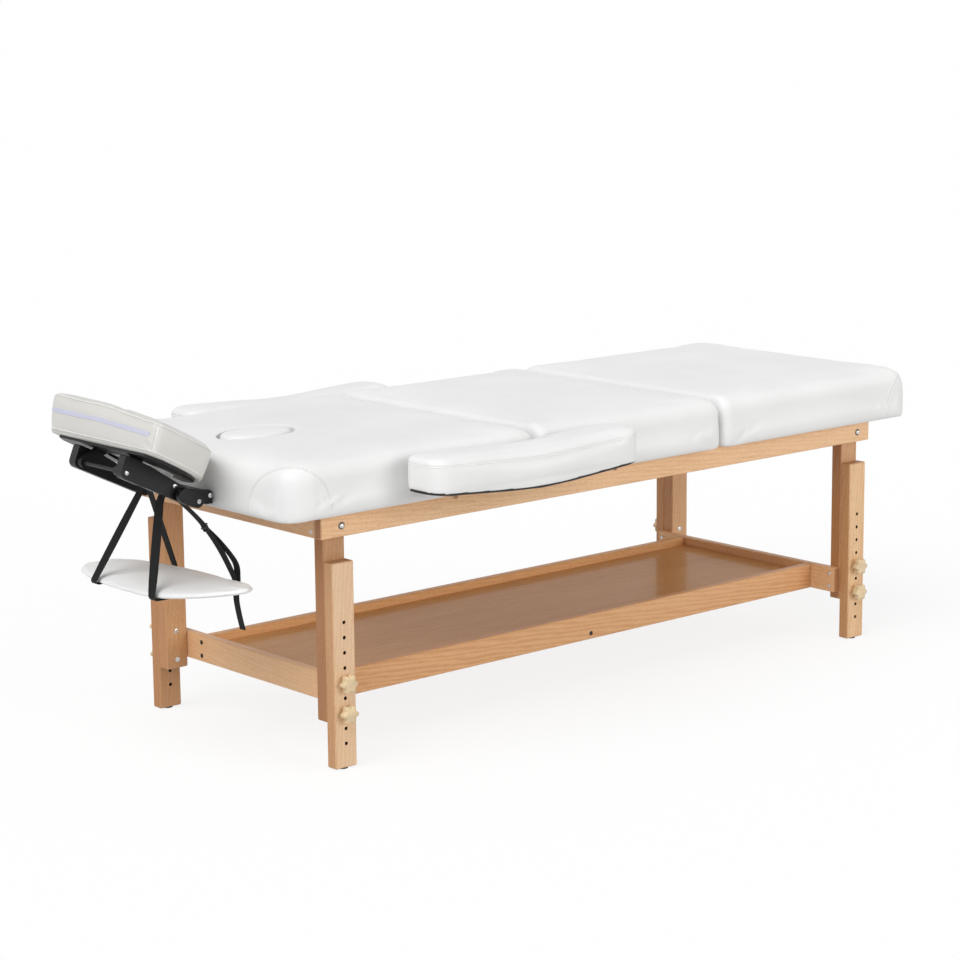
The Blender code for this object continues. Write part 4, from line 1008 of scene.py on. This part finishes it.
def build_straps():
    middle = STRAP_THICK / 2 + 0.0003
    bar_x = BAR_X + SHIFT_X
    for (side, _), top_y, foot_y in zip(SIDES, STRAP_TOP_Y, STRAP_FOOT_Y):
        edges = leaf_edges(foot_y)
        spots = circle(bar_x, BAR_Z, BAR_RADIUS + middle)
        for edge in edges:
            spots += circle(edge, LEAF_Z, LEAF_RIM / 2 + middle)
        loop = resampled([Vector((x, 0, z)) for x, z in hull(spots)], STRAP_STEP, True)
        lean_from = ARM_CLEAR_Z if side == "front" else BAR_Z
        for spot in loop:
            share = min(1.0, max(0.0, (lean_from - spot.z) / (lean_from - LEAF_Z)))
            spot.y = top_y + (foot_y - top_y) * share
        if side == "front":
            bend_at_buckle(loop)
        towards = 0.85 if side == "front" else 0.35
        turns = [towards if spot.x < bar_x else 0.15 for spot in loop]
        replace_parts(webbing(f"strap_{side}", loop, turns, True), f"sling_strap_{side}")
        if side == "front":
            build_tail(edges[1], foot_y)
            build_buckle(edges[1], foot_y)


def bend_at_buckle(loop):
    """Bend the strand nearest the table so that it runs through the buckle."""
    buckle = at(*BUCKLE_AT)
    strand = [spot for spot in loop if spot.x > BAR_X + SHIFT_X and LEAF_Z + 0.004 < spot.z < BAR_Z - 0.004]
    move = buckle - min(strand, key=lambda spot: abs(spot.z - buckle.z))
    move.z = 0
    for spot in strand:
        end = BAR_Z if spot.z > buckle.z else LEAF_Z
        spot += move * sin(pi / 2 * (end - spot.z) / (end - buckle.z))


def build_tail(edge, foot_y):
    """The strap's loose end: slack from the buckle down past the leaf's edge, it hangs under the leaf."""
    buckle, foot = at(*BUCKLE_AT), Vector((edge, foot_y, LEAF_Z))
    slack = [buckle.lerp(foot, share) + Vector(out) for share, out in (
        (0.0, (0.003, 0, -0.002)), (0.30, (0.014, -0.007, 0)), (0.65, (0.022, -0.010, 0)),
        (0.92, (0.015, -0.002, 0)))]
    hanging = [foot + Vector(out) for out in ((0.010, 0, -0.006), (0.006, -0.001, -0.033),
                                              (0.013, 0.001, -0.068), (0.021, 0, -0.103))]
    run = resampled(curved(slack + hanging), STRAP_STEP)
    webbing("strap_tail", run, [0.15] * len(run))


def build_buckle(edge, foot_y):
    """A ladder buckle: two sides along the strap and three bars across it."""
    centre = at(*BUCKLE_AT)
    along = (Vector((edge, foot_y, LEAF_Z)) - centre).normalized()
    across = (Vector((0, 1, 0)) - along * along.y).normalized()
    bars = [rod(middle - along * 0.008, middle + along * 0.008, BUCKLE_ROD, 8)
            for middle in (centre - across * 0.0102, centre + across * 0.0102)]
    normal = along.cross(across)
    for place, out in ((-0.0075, 0.0016), (0.0, -0.0022), (0.0075, 0.0016)):
        middle = centre + along * place + normal * out
        bars.append(rod(middle - across * 0.0112, middle + across * 0.0112, BUCKLE_ROD, 8))
    buckle = trim(from_bmesh("ladder_buckle", joined(bars)), "arm_sling", BLACK)
    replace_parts(buckle, "sling_buckle")


def leaf_lift(y):
    """How far the leaf's free front end curls up."""
    return LEAF_CURL * max(0.0, (LEAF_CURL_FROM - y) / LEAF_CURL_REACH) ** 1.3


def leaf_place(turn, height):
    """A place on the leaf's outline, at a turn round it."""
    along = LEAF_LENGTH / 2 * cos(turn)
    sine = sin(turn)
    across = LEAF_WIDTH / 2 * copysign(abs(sine) ** (1 + LEAF_POINT * cos(turn)), sine)
    x = LEAF_CENTRE[0] + along * cos(LEAF_YAW) - across * sin(LEAF_YAW)
    y = LEAF_CENTRE[1] + along * sin(LEAF_YAW) + across * cos(LEAF_YAW)
    return at(x, y, height + leaf_lift(y))


def build_leaf():
    leaf = new_object("sling_cover", nodes["sling_shelf"].data.copy())
    remesh(leaf, 0.004)
    relax(leaf, 3)
    swell(leaf, held_below(LEAF_Z - 0.004, 0.003), 2.0, 0.0015)
    for vert in leaf.data.vertices:
        vert.co.z += leaf_lift(vert.co.y)
    surface = soft(leaf, "arm_sling", "sling_shelf")
    path = [leaf_place(turn, LEAF_Z - 0.001) for turn in full_turn(120)]
    seam("sling_seam", path, surface, "arm_sling", closed=True, stitched=False)


build_leaf()
build_straps()


# Star knobs and small fittings, with profiles in millimetres
STAR = ((10.0, 0.3), (10.0, 4.8), (16.5, 5.2, 4.6), (19.6, 6.6, 5.5), (20.0, 8.5, 5.6), (20.0, 16.5, 5.6),
        (19.5, 18.5, 5.4), (18.2, 19.6, 5.0), (12.0, 20.0, 3.0), (6.0, 20.1), (1.0, 20.1))
DOME = ((0.1, 0), (6.0, 0), (5.9, 1.4), (5.0, 3.2), (3.2, 4.3), (1.0, 4.7))
FLANGE = ((0.1, -0.4), (7.8, -0.4), (7.8, 0.7), (7.2, 1.1), (0.1, 1.1))
SCREW = ((0.1, -0.4), (4.4, -0.4), (4.4, 0.2), (3.6, 0.5), (2.0, 0.2), (0.4, -0.3))
NUT = ((2.7, -0.4), (5.8, -0.4), (5.8, 0.6), (5.3, 1.0), (3.1, 1.0), (2.5, 0.2))
WELL = ((0.1, -0.4), (5.2, -0.4), (5.2, 0.2), (4.2, 0.3), (0.1, 0.3))
BUTTON = ((0.1, -0.4), (4.5, -0.4), (4.4, 1.0), (3.6, 2.2), (2.2, 2.5), (1.9, 0.8), (0.1, 0.6))
RIVET = ((0.1, -0.6), (5.2, -0.6), (5.2, 0.6), (4.4, 1.4), (2.2, 1.9), (0.4, 2.0))
# A sleeve of painted shade inside an empty leg hole.
HOLE_SHADE_SLEEVE = ((3.6, 0.5), (3.6, 26.5), (4.4, 26.5), (4.4, 0.5))
KNOB_BOLT = 0.00375


def build_knob(name, x, y, height):
    """A flat-faced lobed knob with a collar under it and its bolt."""
    foot = at(x * POST_X, y * LEG_OUTER_Y, height)
    bolt = rod(at(x * POST_X, y * LEG_INNER_Y, height), foot + Vector((0, y * 0.006, 0)), KNOB_BOLT)
    knob = from_bmesh(f"star_{name}", joined([turned(foot, (0, y, 0), STAR, 72, 6), bolt]))
    trim(knob, name, KNOB, 60)
    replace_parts(knob, name)


def fitting(name, body, made, profile, places, capped=True):
    """Equal small fittings on one body, each at a place and facing a direction."""
    shapes = [turned(at(*place), axis, profile, capped=capped) for place, axis in places]
    trim(from_bmesh(name, joined(shapes)), body, made)


def build_fittings():
    sides = [y for _, y in SIDES]
    four = [(x, y) for _, x in ENDS for y in sides]
    rails = [((x, y * RAIL_Y, RAIL_BOLT_Z), (0, y, 0)) for x in RAIL_BOLT_X for y in sides]
    screws = [((x * END_RAIL_X, y * END_SCREW_Y, END_SCREW_Z), (x, 0, 0)) for x, y in four]
    nuts = [((x * POST_X, y * POST_INNER_Y, height), (0, -y, 0)) for x, y in four for height in KNOB_Z]
    bolts = [((x * STRETCHER_INNER_X, y * STRETCHER_BOLT_Y, height), (-x, 0, 0))
             for x, y in four for height in STRETCHER_BOLT_Z]
    wells = [((x * STRETCHER_OUTER_X, y * WELL_Y, height), (x, 0, 0)) for x, y in four for height in WELL_Z]
    wells += [((0, y * APRON_Y, WELL_Z[0]), (0, y, 0)) for y in sides]
    arms = [((x, y * ARM_OUTER_Y, z), (0, y, 0))
            for x, z in ((TILT_X, TILT_Z), (BAR_X, BAR_RIVET_Z)) for y in sides]
    cheeks = [((CHEEK_RIVET_X, y * CHEEK_OUTER_Y, CHEEK_RIVET_Z), (0, y, 0)) for y in sides]
    fitting("rail_bolt_flanges", "frame", DARK_STEEL, FLANGE, rails)
    fitting("rail_bolts", "frame", STEEL, DOME, rails)
    fitting("end_rail_screws", "frame", STEEL, SCREW, screws)
    fitting("post_nuts", "frame", STEEL, NUT, nuts)
    fitting("stretcher_bolts", "frame", STEEL, BUTTON, bolts)
    # Dark discs of painted shade in the screw wells.
    fitting("screw_wells", "frame", PAINTED_BORE_SHADE, WELL, wells)
    fitting("arm_rivets", "cradle_arms", STEEL, RIVET, arms)
    fitting("cheek_rivets", "cradle_base", STEEL, RIVET, cheeks)


def build_legs():
    """Each leg's star knobs, and painted shade on the walls of its holes that hold none."""
    free = [height for height in HOLE_HEIGHTS if height not in KNOB_Z]
    for side, y in SIDES:
        for end, x in ENDS:
            for place, height in zip(("lower", "upper"), KNOB_Z):
                build_knob(f"knob_{side}_{end}_{place}", x, y, height)
            fitting(f"hole_shade_sleeves_{side}_{end}", f"leg_{side}_{end}", PAINTED_BORE_SHADE, HOLE_SHADE_SLEEVE,
                    [((x * POST_X, y * LEG_INNER_Y, height), (0, y, 0)) for height in free], capped=False)


build_legs()
build_fittings()


# Floor, light and background
def grey(level):
    return (level, level, level, 1)


def split_view(tree, plain, seen, output):
    """Use one shader where a ray comes from the camera, a reflection or glass, and a plain one elsewhere."""
    path = add_node(tree, "LightPath")
    share = path.outputs["Is Camera Ray"]
    for name in ("Is Glossy Ray", "Is Transmission Ray"):
        share = add_node(tree, "Math", {0: share, 1: path.outputs[name]}, operation="MAXIMUM").outputs[0]
    either = add_node(tree, "MixShader", {0: share, 1: plain.outputs[0], 2: seen.outputs[0]})
    add_node(tree, output, {"Surface": either.outputs[0]})


def build_floor():
    """A pale floor: it bounces light as a grey one, and looks white with a faint shadow."""
    bm = bmesh.new()
    bmesh.ops.create_grid(bm, x_segments=2, y_segments=2, size=60)
    floor = from_bmesh("floor", bm)
    made = bpy.data.materials.new("floor")
    made.use_nodes = True
    tree = made.node_tree
    tree.nodes.clear()
    plain, shaded = (add_node(tree, "BsdfDiffuse", {"Color": grey(level)}) for level in (0.72, 0.16))
    glow = add_node(tree, "Emission", {"Color": grey(0.85)})
    seen = add_node(tree, "AddShader", {0: shaded.outputs[0], 1: glow.outputs[0]})
    split_view(tree, plain, seen, "OutputMaterial")
    floor.data.materials.append(made)


def build_world():
    """Soft light from all round, seen as white by the camera and in reflections."""
    scene.world = bpy.data.worlds.new("studio")
    scene.world.use_nodes = True
    tree = scene.world.node_tree
    tree.nodes.clear()
    light = add_node(tree, "Background", {"Color": (0.97, 0.985, 1.0, 1), "Strength": 0.39})
    white = add_node(tree, "Background", {"Color": grey(1)})
    split_view(tree, light, white, "OutputWorld")


def lamp(name, energy, towards, angle, colour=(1, 1, 1)):
    """A broad sun lamp that shines from a direction, given as the way from the object to it."""
    made = new_object(name, bpy.data.lights.new(name, "SUN"))
    made.data.energy = energy
    made.data.angle = radians(angle)
    made.data.color = colour
    made.rotation_euler = Vector(towards).to_track_quat("Z", "Y").to_euler()


build_floor()
build_world()
lamp("front_softbox", 1.02, (0.30, -0.92, 0.24), 34, (1.0, 0.99, 0.97))
lamp("head_fill", 0.50, (-0.86, -0.42, 0.14), 60)
lamp("overhead_softbox", 1.70, (-0.62, -0.08, 0.78), 46)

scene.view_settings.view_transform = "Standard"
